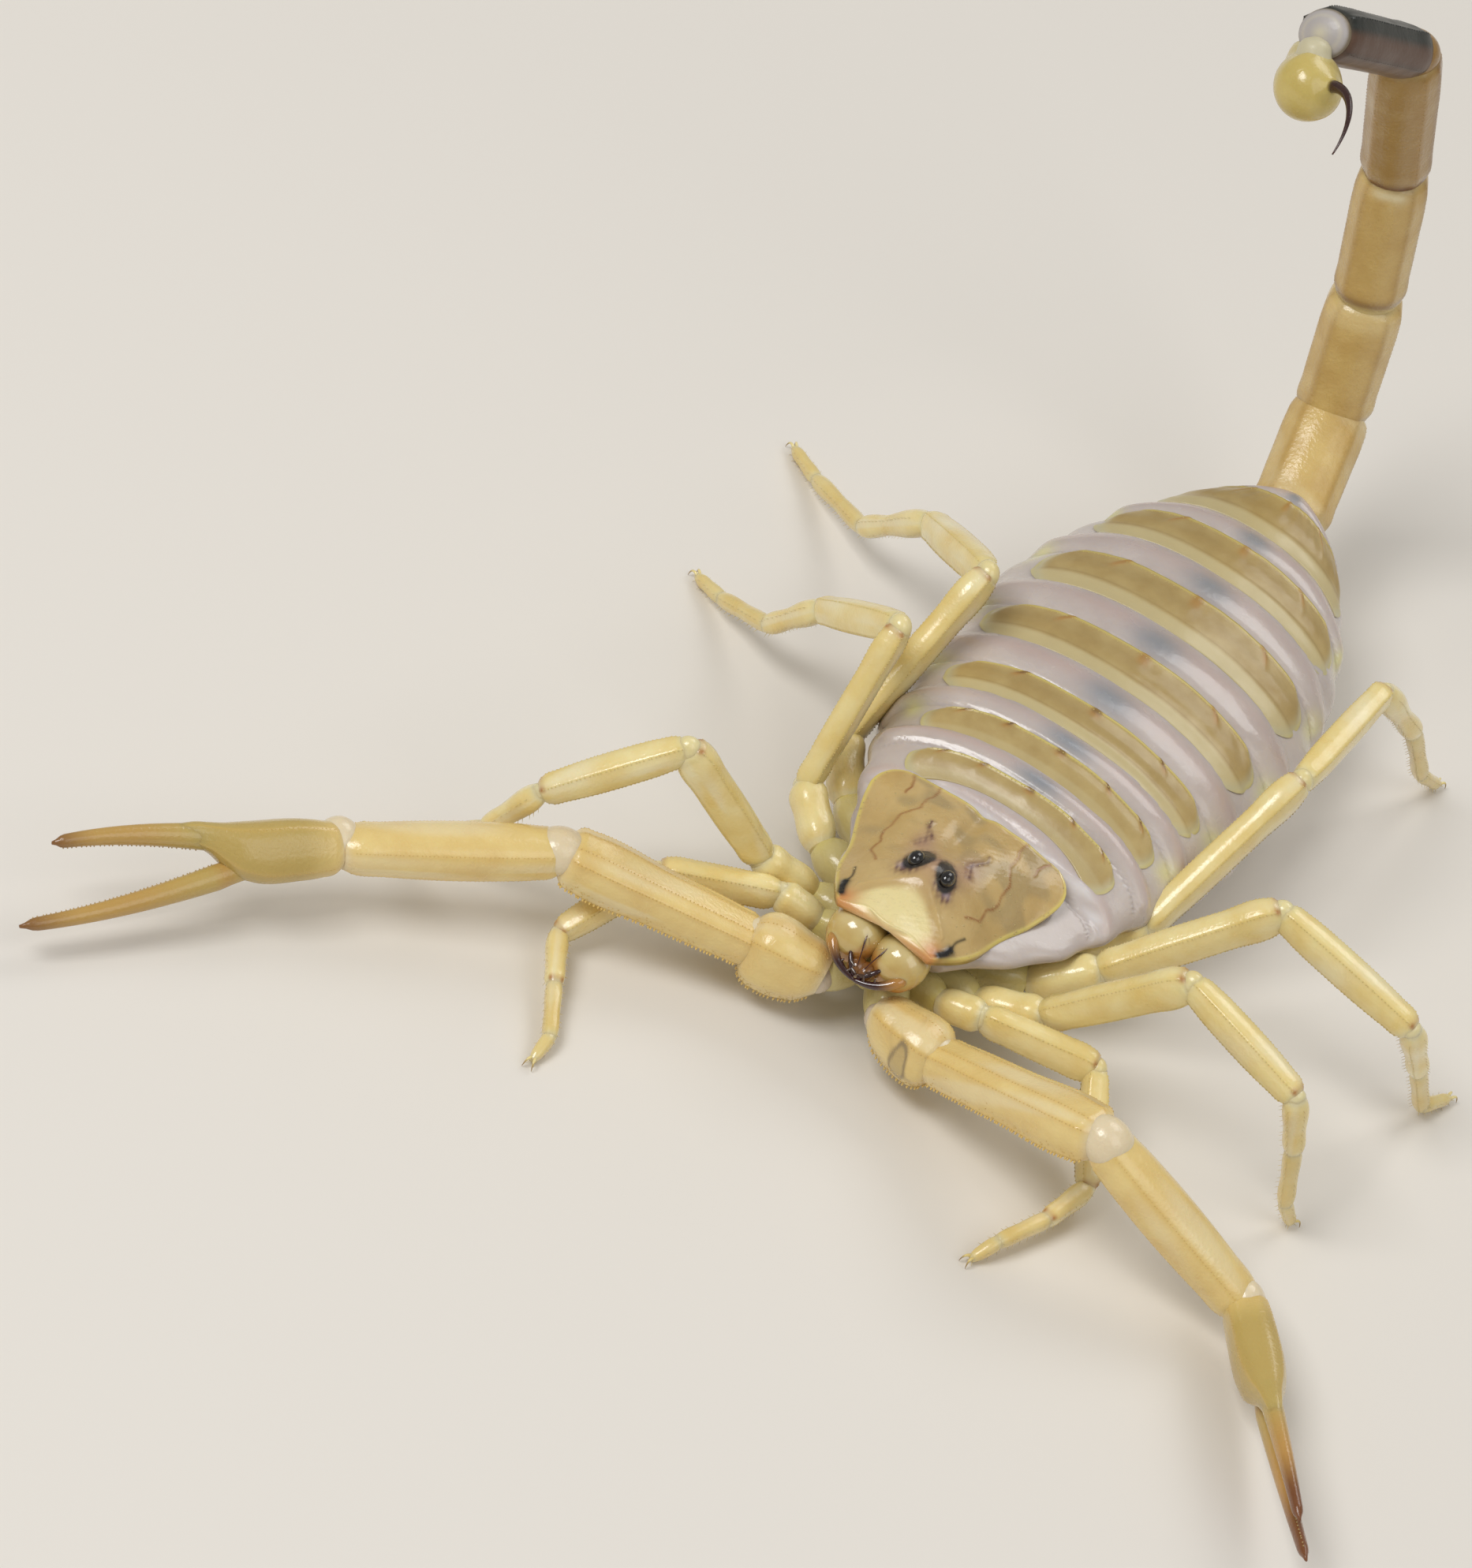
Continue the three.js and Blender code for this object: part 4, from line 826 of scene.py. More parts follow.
# %% one leg
def leg_patches(label, number):
    """Six tubes from hip ring to short foot, balls of skin at their joints, and two claws. Granules follow
    the keels of the thigh and the knee shell, and bristles follow four lines of the shin and the foot."""
    ways, joints, lengths = leg_joints(label, number)
    g = LEG_GIRTHS[number - 1]
    hip, thigh, knee, shin, long_foot, short_foot = lengths
    tubes = [
        [(-0.2, 1.3 * g, 1.5 * g), (0.3, 1.8 * g, 2.0 * g), (hip * 0.6, 2.1 * g, 2.2 * g),
         (hip - 0.3, 2.0 * g, 2.15 * g), (hip + 0.1, 1.5 * g, 1.7 * g)],
        [(-0.1, 1.1 * g, 1.5 * g), (0.3, 1.45 * g, 1.9 * g), (2.0, 1.6 * g, 2.2 * g),
         (thigh * 0.7, 1.65 * g, 2.4 * g), (thigh - 0.6, 1.6 * g, 2.3 * g), (thigh - 0.05, 1.35 * g, 1.8 * g),
         (thigh + 0.15, 0.8 * g, 1.1 * g)],
        [(-0.2, 0.9 * g, 1.1 * g), (0.25, 1.35 * g, 1.6 * g), (1.3, 1.6 * g, 1.9 * g),
         (knee * 0.42, 1.75 * g, 2.1 * g), (knee * 0.85, 1.55 * g, 1.85 * g), (knee - 0.4, 1.4 * g, 1.65 * g),
         (knee - 0.05, 1.1 * g, 1.3 * g), (knee + 0.1, 0.7, 0.8)],
        [(-0.15, 0.85, 0.95), (0.2, 1.1, 1.22), (shin * 0.6, 1.15, 1.3), (shin - 0.15, 1.02, 1.12),
         (shin + 0.1, 0.86, 0.94)],
        [(-0.15, 0.86, 0.94), (0.15, 0.94, 1.02), (long_foot * 0.5, 0.92, 1.0), (long_foot - 0.15, 0.84, 0.9),
         (long_foot + 0.08, 0.74, 0.8)],
        [(-0.1, 0.72, 0.78), (0.15, 0.8, 0.86), (short_foot * 0.5, 0.76, 0.82),
         (short_foot - 0.7, 0.66, 0.72), (short_foot - 0.3, 0.42, 0.46)],
    ]
    keels_of_part = [(keel_angle, 0.1, 10) for keel_angle in LEG_KEEL_ANGLES]
    patches = []
    rows, sides = 40, 40
    for part, stations in enumerate(tubes):
        axes = limb_axes(*ways[part])
        far = stations[-1][0]
        ends = lambda x, angle, far=far: np.maximum(bell(x, 0.25), bell(x - far, 0.25)) * 0.7
        edge = lambda x, angle: 0.4 * bell(np.abs(np.sin(angle)) - 0.76, 0.1)
        milk = lambda x, angle, part=part: 0.4 * smooth(ripple(part + 30, 0.6 * x, 2.5 * angle) / 0.5)
        knob = lambda x, angle, far=far: 0.85 * bell(x - far + 0.25, 0.2) * bell(np.sin(angle) - 0.75, 0.25)
        keels = keels_of_part if part in (1, 2) else ()
        patch = tube(stations, joints[part], axes, keels, power=2.5, rows=rows, sides=sides, joint=ends,
                     keel=edge if part in (1, 2) else 0.0, toe=0.3 * (part > 3),
                     knob=knob if part in (1, 2, 3) else 0.0, milk=milk)
        patches.append(patch)
        if part in (1, 2):
            for keel_angle in LEG_KEEL_ANGLES:
                line, outs = keel_line(patch, rows, sides, keel_angle)
                places, normals, ahead = spaced(line, outs, 0.24, part * 10 + number)
                patches.append(beads(places, normals, ahead, 0.05, 0.05, keel=0.5))
        if part > 2:
            for keel_angle, reach in BRISTLE_ROWS:
                line, outs = keel_line(patch, rows, sides, keel_angle)
                places, normals, ahead = spaced(line, outs, 0.42, part * 10 + number + 5, 0.15, 0.95)
                patches.append(spikes(places, unit(normals + 0.7 * ahead), reach, 0.022, dark=0.25))
    for part in range(1, 6):
        size = (0.84 * g, 0.8 * g, 0.56 * g, 0.42, 0.36)[part - 1]
        patches.append(ball(joints[part], (size, size * 0.9, size * 1.08), limb_axes(*ways[part]),
                            joint=0.3 if part == 2 else 0.6))
    for swing in (-1, 1):
        patches.append(claw(joints[6], limb_axes(*ways[6]), swing))
    return patches


def claw(toe, axes, swing, steps=14, sides=10):
    """A small hook: its middle line bends down to the floor while it narrows to a point."""
    t = np.linspace(0, 1, steps)
    line = np.stack([0.6 * np.sin(t * 1.6), swing * (0.1 + 0.22 * t), 0.1 - 0.1 * t + 0.2 * np.sin(np.pi * t)
                     - 0.33 * t ** 2], axis=-1)
    line[:, 2] = np.maximum(line[:, 2], -toe[2] + 0.06)
    dark = 0.8 * smooth(t * 2 - 0.7)[:, None]
    return horn(placed(line, toe, axes), 0.12 * (1 - 0.85 * t), sides, dark=dark)


def horn(line, radius, sides=10, **marks):
    """A round horn along any line: rings square to the line, with the given radius at each of its points."""
    ahead = unit(np.gradient(line, axis=0))
    first = unit(np.cross(ahead, [0.31, 0.17, 0.93]))
    second = np.cross(ahead, first)
    angle = np.linspace(0, 2 * np.pi, sides, endpoint=False)
    ring = first[:, None] * np.cos(angle)[None, :, None] + second[:, None] * np.sin(angle)[None, :, None]
    points = line[:, None] + ring * np.asarray(radius)[:, None, None]
    return sheet(points, wrap=True, caps=(True, True), **marks)


for label in ("left", "right"):
    for number in (1, 2, 3, 4):
        name = f"leg_{label}_{number}"
        build(f"{name}_shell", leg_patches(label, number), leg_shell,
              [f"{name}_thigh", f"{name}_knee", f"{name}_foot"])

# %% [markdown]
# ## The claw arms
# An arm has a short hip piece, two long angular shells and a slender hand with two long fingers. Rows of
# granules follow the keels, and along the lower keels of the hip piece and the upper shell they stand out
# like a saw. A displacement map could raise such granules, but real domes keep their shape in the outline
# as well.

# %% arm measures
CLAW_HIP = (2.5, -1.2, 3.9)
ARM = {"hip": 3.8, "upper": 12.6, "fore": 13.3, "hand": 7.2}
FINGER = {"fixed": 10.2, "moving": 12.8, "width": 1.35, "depth": 1.65}
# turn and rise of each part, in degrees, the hand's roll, and how far its moving finger opens
ARMS = {
    "left": {"side": 1, "hip": (-10, 5), "upper": (-15, 23), "fore": (7, -28), "hand": (-54, 5),
             "roll": 18, "open": -6},
    "right": {"side": -1, "hip": (192, 4), "upper": (204, 11), "fore": (220, -6), "hand": (230, 0),
              "roll": 45, "open": 11},
}
FINGER_ROOT = 0.85    # how far above the hand's middle line the fixed finger starts
HINGE_BACK = 0.35     # how far behind the hand's end the moving finger's hinge lies
HINGE_DROP = 1.2      # how far below the hand's middle line it lies
FINGER_BACK = 1.1     # how far the moving finger reaches back into the hand
FINGER_STEP = 0.2     # how far in front of the hand the fixed finger starts


def finger_arch(t):
    """The height of a finger's middle line above its root: a sine that a falling parabola bends down."""
    return 0.55 * np.sin(np.pi * 0.62 * t) - 0.45 * t * t


print("arm with its hand:", round(sum(ARM.values()), 1), "mm")

# %% arm shells
def arm_frames(arm):
    """Where each shell of an arm starts, and its axes; the hand also rolls about its own length."""
    place = np.array(CLAW_HIP) * (arm["side"], 1, 1)
    frames = {}
    for part in ("hip", "upper", "fore"):
        frames[part] = (place, limb_axes(*arm[part]))
        place = place + heading(*arm[part]) * ARM[part]
    frames["hand"] = (place, limb_axes(*arm["hand"], arm["roll"]))
    opening = math.radians(arm["open"])
    hinge = np.array([ARM["hand"] - HINGE_BACK, 0, -HINGE_DROP])
    swing = np.array([[math.cos(opening), 0, -math.sin(opening)], [0, 1, 0],
                      [math.sin(opening), 0, math.cos(opening)]])
    hand_axes = frames["hand"][1]
    frames["finger"] = (placed(hinge, place, hand_axes), swing @ hand_axes)
    return frames


# distance along the shell, width, depth and, where it isn't 0, how far the middle line is lifted
ARM_STATIONS = {
    "hip": [(-0.6, 2.0, 2.4, 0.3), (0.0, 2.7, 3.4, 0.2), (1.2, 3.2, 4.2), (2.5, 3.5, 4.6), (3.5, 3.4, 4.3),
            (4.0, 2.9, 3.7), (4.4, 2.0, 2.6)],
    "upper": [(-0.2, 2.2, 2.2), (0.3, 2.75, 2.5), (1.6, 2.95, 2.65), (6.3, 3.25, 2.85), (11.4, 3.5, 3.05),
              (12.3, 3.2, 2.8), (12.7, 2.4, 2.2)],
    "fore": [(0.15, 2.2, 2.1), (0.6, 2.75, 2.55), (1.8, 3.1, 2.85), (4.2, 3.35, 3.05), (10.6, 3.1, 2.85),
             (12.6, 2.8, 2.6), (13.15, 2.4, 2.25)],
    "hand": [(0.05, 2.2, 2.4), (0.4, 2.6, 2.95), (1.2, 2.8, 3.3), (2.6, 2.9, 3.6), (5.4, 2.85, 3.5),
             (6.5, 2.5, 3.05, 0.2), (7.2, 2.05, 2.45, 0.5), (7.9, 1.6, 1.85, 0.85), (8.8, 1.2, 1.45, 1.12),
             (9.8, 0.8, 1.0, 1.25)],
}
# angle in degrees, height in millimetres and width in degrees of each keel
ARM_KEELS = {
    "hip": [(30, 0.1, 12), (150, 0.1, 12), (-62, 0.2, 12), (-118, 0.2, 12), (90, 0.06, 12)],
    "upper": [(36, 0.13, 9), (144, 0.13, 9), (72, 0.04, 7), (108, 0.04, 7), (-40, 0.14, 9), (-140, 0.14, 9)],
    "fore": [(35, 0.03, 12), (145, 0.03, 12), (-38, 0.06, 10), (-142, 0.06, 10)],
    "hand": [(40, 0.04, 9), (140, 0.04, 9), (-40, 0.04, 9), (-140, 0.04, 9)],
}
SAW_ANGLES = (-40, -140, -62, -118)


def near_keels(keel_angles, spread):
    """A mark that is 1 along each of the given angles of a tube and fades to both sides."""
    return lambda x, angle: sum(
        bell(np.degrees(np.angle(np.exp(1j * (angle - np.radians(k))))), spread) for k in keel_angles)


def arm_patches(part, frame_of_part, seed, squeeze=1.0, **extra):
    """A shell with its keels and a row of granules on each. Along the lower keels of the hip piece and the
    upper shell the granules are saw teeth, with smaller ones strewn beside them."""
    place, axes = frame_of_part
    stations = [(x, wide, deep * squeeze, *rest) for x, wide, deep, *rest in ARM_STATIONS[part]]
    rows, sides = 60, 90
    far = stations[-1][0]
    ends = lambda x, angle: 0.6 * np.maximum(bell(x - stations[0][0], 0.3),
                                             bell(x - far, 0.3) * (part != "hand"))
    keel_angles = [keel[0] for keel in ARM_KEELS[part]]
    lines = near_keels(keel_angles, 7)
    milk = lambda x, angle: 0.32 * smooth(ripple(seed, 0.45 * x, 3 * angle) / 0.5) * (part != "hand")
    power = {"hip": 3, "fore": 2.25}.get(part, 2.6)
    olive = lambda x, angle: 0.9 * smooth(x / 3.5 + 0.15) * (part == "hand")
    keel = lambda x, angle: (0.4 if part in ("hip", "upper") else 0.2) * lines(x, angle)
    patch = tube(stations, place, axes, ARM_KEELS[part], power=power, rows=rows, sides=sides,
                 joint=ends, milk=milk, olive=olive, keel=keel, **extra)
    patches = [patch]
    for k, keel_angle in enumerate(keel_angles):
        line, outs = keel_line(patch, rows, sides, keel_angle)
        saw = keel_angle in SAW_ANGLES and part in ("hip", "upper")
        places, normals, ahead = spaced(line, outs, 0.24, seed + k, 0.08, 0.95 if part != "hand" else 0.6)
        if saw:
            reach = 0.2 if part == "hip" else 0.13
            strewn = scattered(patch, rows, sides, keel_angle, 16, 130, seed + k + 5)
            patches.append(beads(places, normals, ahead, 0.085, reach + 0.05, keel=0.6))
            patches.append(beads(*strewn, 0.045, 0.045, keel=0.7))
        else:
            size = 0.05 if part in ("hip", "upper") else 0.036
            patches.append(beads(places, normals, ahead, size, size, keel=0.7, olive=0.8 * (part == "hand")))
    return patches


def finger_patches(arm, frames, moving, seed):
    """A long finger: rings shrink along a bowed line to a sharp dark tip; teeth line its inner edge."""
    t = np.linspace(0, 1, 40)
    thin = (1 - 0.56 * t) * np.where(t > 0.93, 1 - 0.75 * smooth((t - 0.93) / 0.07), 1)
    if moving:
        place, axes = frames["finger"]
        x = -FINGER_BACK + (FINGER["moving"] + FINGER_BACK) * t
        z, facing = -finger_arch(np.maximum(t - 0.08, 0) / 0.92), 1
        thin = thin * (0.75 + 0.25 * smooth(t * 7))
    else:
        place, axes = frames["hand"]
        root = ARM["hand"] + FINGER_STEP
        x, z, facing = root + (FINGER["fixed"] - FINGER_STEP) * t, FINGER_ROOT + finger_arch(t), -1
    angle = np.linspace(0, 2 * np.pi, 28, endpoint=False)[None, :]
    local = np.stack([x[:, None] + 0 * angle, FINGER["width"] / 2 * thin[:, None] * np.cos(angle),
                      z[:, None] + FINGER["depth"] / 2 * thin[:, None] * np.sin(angle)], axis=-1)
    tip = smooth((t - (0.5 if arm["side"] > 0 else 0.72)) / 0.35)[:, None]
    warm = ((0.8 if arm["side"] > 0 else 0.5) * smooth((t[:, None] - 0.1) / 0.45)
            + 0.5 * moving * bell(t[:, None] - 0.1, 0.04))
    body = sheet(placed(local, place, axes), wrap=True, caps=(True, True),
                 tip=tip * 0.9, warm=warm, olive=0.9)
    inner = np.stack([x, 0 * x, z + facing * FINGER["depth"] / 2 * thin], axis=-1)
    line = placed(inner, place, axes)
    outs = np.broadcast_to(facing * axes[2], line.shape)
    places, normals, ahead = spaced(line, outs, 0.26, seed, 0.14, 0.93)
    return [body, beads(places, normals, ahead, 0.055, 0.08, tip=0.55)]


# %% build both arms
for label, arm in ARMS.items():
    frames = arm_frames(arm)
    for order, part in enumerate(("hip", "upper", "fore")):
        stain, squeeze = 0.0, 1.0
        if part == "hip" and label == "left":    # flatter, with a dry stain on one side
            squeeze = 0.86
            blot = lambda x, angle: (bell(np.hypot((x - 2.5) / 0.55, (angle - 3.35) / 0.55), 1.0)
                                     + 0.22 * ripple(77, 5 * x, 6 * angle))
            stain = lambda x, angle: (0.35 * smooth((blot(x, angle) - 0.35) / 0.1)
                                      + 0.8 * bell(blot(x, angle) - 0.33, 0.12))
        shell = arm_patches(part, frames[part], 50 + 10 * order, squeeze, stain=stain)
        build(f"arm_{label}_{part}_shell", shell, arm_shell, [f"arm_{label}_{part}"])
    hand = arm_patches("hand", frames["hand"], 90) + finger_patches(arm, frames, False, 91)
    build(f"arm_{label}_hand_shell", hand, arm_shell, [f"arm_{label}_hand"])
    build(f"arm_{label}_finger_shell", finger_patches(arm, frames, True, 92), arm_shell,
          [f"arm_{label}_finger"])
    # distance ahead, lift and three radii of the ball of skin at the root of each shell
    capsules = {"hip": (-0.25, 0.0, 1.0, 1.0, 1.15), "upper": (0.1, 0.2, 1.5, 1.35, 1.35),
                "fore": (0.45, 0.18, 1.75, 1.5, 1.42), "hand": (0.05, 0.42, 1.35, 1.2, 1.45)}
    balls = [ball(frames[part][0] + frames[part][1][0] * ahead + frames[part][1][2] * lift, (a, b, c),
                  frames[part][1], rows=24, columns=32, joint=0.95, skin=0.55 * (part == "hip"))
             for part, (ahead, lift, a, b, c) in capsules.items()]
    build(f"arm_{label}_joint_skin", balls, arm_shell)

# %% [markdown]
# ## The tail
# Five rings rise from the body, each turned against the last, and the sting hangs folded under the last
# one. The frame of each ring is the frame before, swung by the smallest turn that takes one heading into
# the next, so the keels run on from ring to ring without a twist. Jointed objects could hold these turns
# too, but a still animal needs no joints, and each piece keeps its place in its own mesh.

# %% tail measures
TAIL_BASE = np.array([BODY_LEAN, BODY_REAR + 0.1, 8])
TAIL_LENGTHS = [8.3, 9.9, 10.2, 12.4, 12.6]
TAIL_WIDTHS = [5.3, 5, 4.6, 4.4, 4]
LAST_RING = len(TAIL_LENGTHS) - 1
# turn and rise of each ring, in degrees
TAIL_WAYS = [(105, 33), (220, 82), (213, 78), (253, 65), (255, 26)]


def swung(vector, old, new):
    """The vector turned by the smallest rotation that takes the old direction into the new one."""
    axis = np.cross(old, new)
    share = np.dot(old, new)
    return unit(vector * share + np.cross(axis, vector) + axis * np.dot(axis, vector) / (1 + share))


def tail_frames():
    """The joint and the axes (ahead, across, back) of each ring, and the place where the last ring ends."""
    frames, joint = [], TAIL_BASE
    ahead = heading(*TAIL_WAYS[0])
    back = unit(np.array([0, 0, 1]) - ahead * ahead[2])
    for way, length in zip(TAIL_WAYS, TAIL_LENGTHS):
        following = heading(*way)
        back = swung(back, ahead, following) if np.dot(ahead, following) < 0.999999 else back
        ahead = following
        frames.append((joint, np.stack([ahead, np.cross(back, ahead), back])))
        joint = joint + ahead * length
    return frames, joint


print("tail without its sting:", round(sum(TAIL_LENGTHS), 1), "mm")

# %% tail rings
# share of a ring's length, and the shares of its width and depth there
TAIL_SHARES = [(0, 0.72, 0.72), (0.02, 0.87, 0.87), (0.06, 0.94, 0.94), (0.25, 0.97, 0.97),
               (0.55, 0.98, 0.99), (0.8, 0.98, 1.0), (0.9, 0.95, 0.97), (0.96, 0.87, 0.88), (1, 0.68, 0.68)]
SIDE_KEELS = [(50, 0.1, 10), (130, 0.1, 10), (12, 0.08, 10), (168, 0.08, 10), (-24, 0.08, 10),
              (-156, 0.08, 10), (-66, 0.08, 10), (-114, 0.08, 10)]
LAST_KEELS = [(42, 0.08, 10), (138, 0.08, 10), (-36, 0.14, 9), (-144, 0.14, 9), (-90, 0.08, 9)]


def tail_patches(index, place, axes):
    """A keeled ring, almost straight between two rounded ends, with granules that grow along each keel."""
    length, width, last = TAIL_LENGTHS[index], TAIL_WIDTHS[index], index == LAST_RING
    deep = 0.85 if last else 0.92
    stations = [(-0.1 + (length + 0.15) * share, width * w, width * deep * d) for share, w, d in TAIL_SHARES]
    keels = LAST_KEELS if last else SIDE_KEELS
    rows, sides = 64, 120
    keel_angles = [keel[0] for keel in keels]
    lines = near_keels(keel_angles, 7)
    ends = lambda x, angle: (0.5 if last else 1) * np.maximum(bell(x, 0.4) * (index < 3),
                                                              0.7 * bell(x - length, 0.3))
    crease = (0, 0.7, 0.75, 1.0, 0.5)[index]
    marks = {"keel": lambda x, angle: 0.35 * lines(x, angle), "joint": ends,
             "aged": (0.0, 0.0, 0.12, 0.66, 0)[index],
             "hinge": lambda x, angle: (crease * bell(x - 0.4, 0.55)
                                       + 0.55 * smooth(index - 1.5) * bell(np.abs(np.cos(angle)) - 1, 0.06))}
    if last:
        marks["side"] = lambda x, angle: smooth((np.sin(angle) + 0.3) / 0.4)
    else:
        # pale: lighter mottle at random, the shell's own, and on ring III a painted highlight, a cream oval
        # on top near its far end
        marks["pale"] = lambda x, angle: (
            (0.25 - 0.06 * index) * smooth(ripple(index, 0.8 * x, 2.6 * angle) / 0.3)
            + 0.85 * (index == 2) * bell(x - length + 0.7, 0.32) * bell(np.sin(angle) - 1, 0.12))
    patch = tube(stations, place, axes, keels, power=2.15, rows=rows, sides=sides, **marks)
    patches = [patch]
    for k, keel_angle in enumerate(keel_angles):
        line, outs = keel_line(patch, rows, sides, keel_angle)
        places, normals, ahead = spaced(line, outs, 0.34, 200 + 10 * index + k, 0.08, 0.94)
        grow = np.linspace(0.028, 0.04, len(places)) * (1.7 if last and keel_angle < 0 else 1)
        patches.append(beads(places, normals, ahead, grow, grow, keel=0.2, aged=marks["aged"],
                             side=0.8 * last * (keel_angle > 0)))
    return patches


frames_of_tail, tail_end = tail_frames()
for index, (place, axes) in enumerate(frames_of_tail):
    material, slot = (dark_shell, "dark_tail_ring") if index == LAST_RING else (tail_shell, "tail_shell")
    build(f"tail_shell_{index + 1}", tail_patches(index, place, axes), material, [f"tail_{index + 1}"])
tail_skin = []
for k, ((place, axes), width) in enumerate(zip(frames_of_tail, TAIL_WIDTHS)):
    long, wide, pale = (1.9, 0.49, 0.0) if k == LAST_RING else (1.6, 0.43, 0.7)
    tail_skin.append(ball(place, (long, width * wide, width * 0.4), axes, rows=30, columns=40,
                          aged=(0, 0, 0.1, 0.4, 0.9)[k], joint=pale))
build("tail_joint_skin", tail_skin, tail_shell)

# %% [markdown]
# ## The sting
# A pale disc closes the last ring, and a short neck joins it to a yellow bulb that ends in a dark, curved
# point. A sphere and a cone would be quicker, but the bulb turns as it leaves the neck. So it is a chain
# of rings that tilt and swell one after another, and the point is a horn along an arc.

# %% the disc at the end of the tail
DISC_RADII = (0.75, 1.66, 1.48)
DISC_ROWS = 36
last_axes = frames_of_tail[-1][1]
from_centre = np.sin(np.linspace(POLE_GAP, np.pi - POLE_GAP, DISC_ROWS))[:, None]
disc = [ball(tail_end - last_axes[0] * 0.2, DISC_RADII, last_axes, rows=DISC_ROWS, columns=40, disc=1.0,
             ring=0.85 * bell(from_centre - 1, 0.06),
             neck=0.6 * bell(from_centre, 0.3) + 0.25 * bell(from_centre - 0.72, 0.08))]

# %% the sting
STING_AHEAD = heading(-25, 38)
sting_belly = np.array([0.14, -0.79, -0.59])
sting_belly = unit(sting_belly - STING_AHEAD * np.dot(sting_belly, STING_AHEAD))
STING_PLACE = tail_end + np.array([0.94, -2.31, -2.2])
STING_AXES = np.stack([STING_AHEAD, np.cross(sting_belly, STING_AHEAD), sting_belly])
# along, up, tilt in degrees and swelling of each ring of the bulb
BULB = [(-1.8, -2.5, 58, 0.36), (-1.55, -2.1, 55, 0.46), (-1.1, -1.4, 52, 0.6), (-0.6, -0.6, 42, 0.86),
        (0.1, -0.05, 20, 1.0), (1.0, 0.0, 2, 0.88), (1.6, -0.08, -6, 0.64), (1.9, -0.12, -4, 0.38),
        (2.1, -0.15, 0, 0.22)]
BULB_HALF_HEIGHT, BULB_HALF_WIDTH = 2.1, 2.15
# the sharp point is drawn 4% longer than its blunt solid; its bend is in degrees
POINT = {"start": 2.0, "height": -0.15, "length": 5.1 * 1.04, "bend": 114, "base": 0.82, "tip": 0.1}


def sting_patches():
    """The bulb is a chain of tilted rings; the point follows an arc and narrows to a needle."""
    keys = np.linspace(0, 1, len(BULB))
    x, z, rise, swell = np.moveaxis(through(keys, BULB, np.linspace(0, 1, 48)), -1, 0)
    angle = np.linspace(0, 2 * np.pi, 40, endpoint=False)[None, :]
    lean = np.radians(rise)[:, None]
    up = np.sin(angle) * BULB_HALF_HEIGHT * swell[:, None]
    local = np.stack([x[:, None] - np.sin(lean) * up, np.cos(angle) * BULB_HALF_WIDTH * swell[:, None],
                      z[:, None] + np.cos(lean) * up], axis=-1)
    points = placed(local, STING_PLACE, STING_AXES)
    from_tail = np.linalg.norm(points - tail_end, axis=-1)
    # painted highlight: the bulb is paler near the disc, where the shine on its narrowing shoulders lies
    bulb = sheet(points, wrap=True, caps=(True, True), stalk=0.9 * bell(from_tail - 1.2, 0.75))
    t = np.linspace(0, 1, 40)
    half = np.radians(POINT["bend"]) * t / 2
    line = np.stack([POINT["start"] + POINT["length"] * t * np.cos(half), 0 * t,
                     POINT["height"] + POINT["length"] * t * np.sin(half)], axis=-1)
    radius = (POINT["base"] + (POINT["tip"] - POINT["base"]) * t ** 0.8) / 2
    needle = horn(placed(line, STING_PLACE, STING_AXES), radius, 20, point=smooth(t * 14 + 0.1)[:, None])
    return [bulb, needle]


build("sting_bulb_and_point", sting_patches(), bulb_shell, ["sting"])

# %% the neck between the disc and the bulb
fall = STING_PLACE - tail_end
steps = np.linspace(0, 1, 24)
neck_line = through([0, 1, 2], tail_end + np.array([0.08, 0.34, 0.7])[:, None] * fall
                    + np.array([0.75, 0.5, 0.1])[:, None] * last_axes[0], 2 * steps)
neck_radius = through([0, 0.1, 0.25, 0.6, 1], [0.15, 0.6, 0.86, 1.05, 1.3], steps)
disc.append(horn(neck_line, neck_radius, 40, neck=0.85))
build("tail_end_disc", disc, dark_shell)

# %% [markdown]
# ## The jaws
# Two honey-coloured bulbs show under the front of the shield. Each carries a curved moving finger, a
# short fixed one and a thin spur, dark red-brown and glossy, which close towards a dark middle. A finger
# is a round horn along a curve through a few places, which could also be a Blender curve with a bevel; as
# a formula its girth and its darkening follow the same number.

# %% jaws
MOVING_FINGER = [(2.55, -0.5, 7.3), (2.25, -1.3, 7.1), (1.65, -1.85, 6.75), (0.85, -2.15, 6.45),
                 (-0.1, -2.3, 6.3)]
FIXED_FINGER = [(1.3, -0.8, 7.4), (1.05, -1.3, 7.2), (0.65, -1.75, 6.85), (0.1, -2.15, 6.4)]
JAW_ROOT = (1.5, 1.95, 7.45)
INNER_SPUR = [(0.75, -0.5, 8.35), (0.6, -0.95, 8.0), (0.4, -1.4, 7.5), (0.2, -1.9, 6.9)]


def drawn_horn(places, side, thick, start, full=3.0, **marks):
    """A hooked finger through a few places, and its middle line: it grows to its full girth at a rate,
    narrows to a point and darkens from start onward."""
    t = np.linspace(0, 1, 34)
    line = through(np.linspace(0, 1, len(places)), np.array(places) * (side, 1, 1), t)
    radius = thick * (1 - 0.7 * t ** 1.3) * smooth((1.02 - t) * 14) * smooth(full * (t + 0.12))
    return line, horn(line, radius, 18, dark=smooth((t - start) * 2.4)[:, None], **marks)


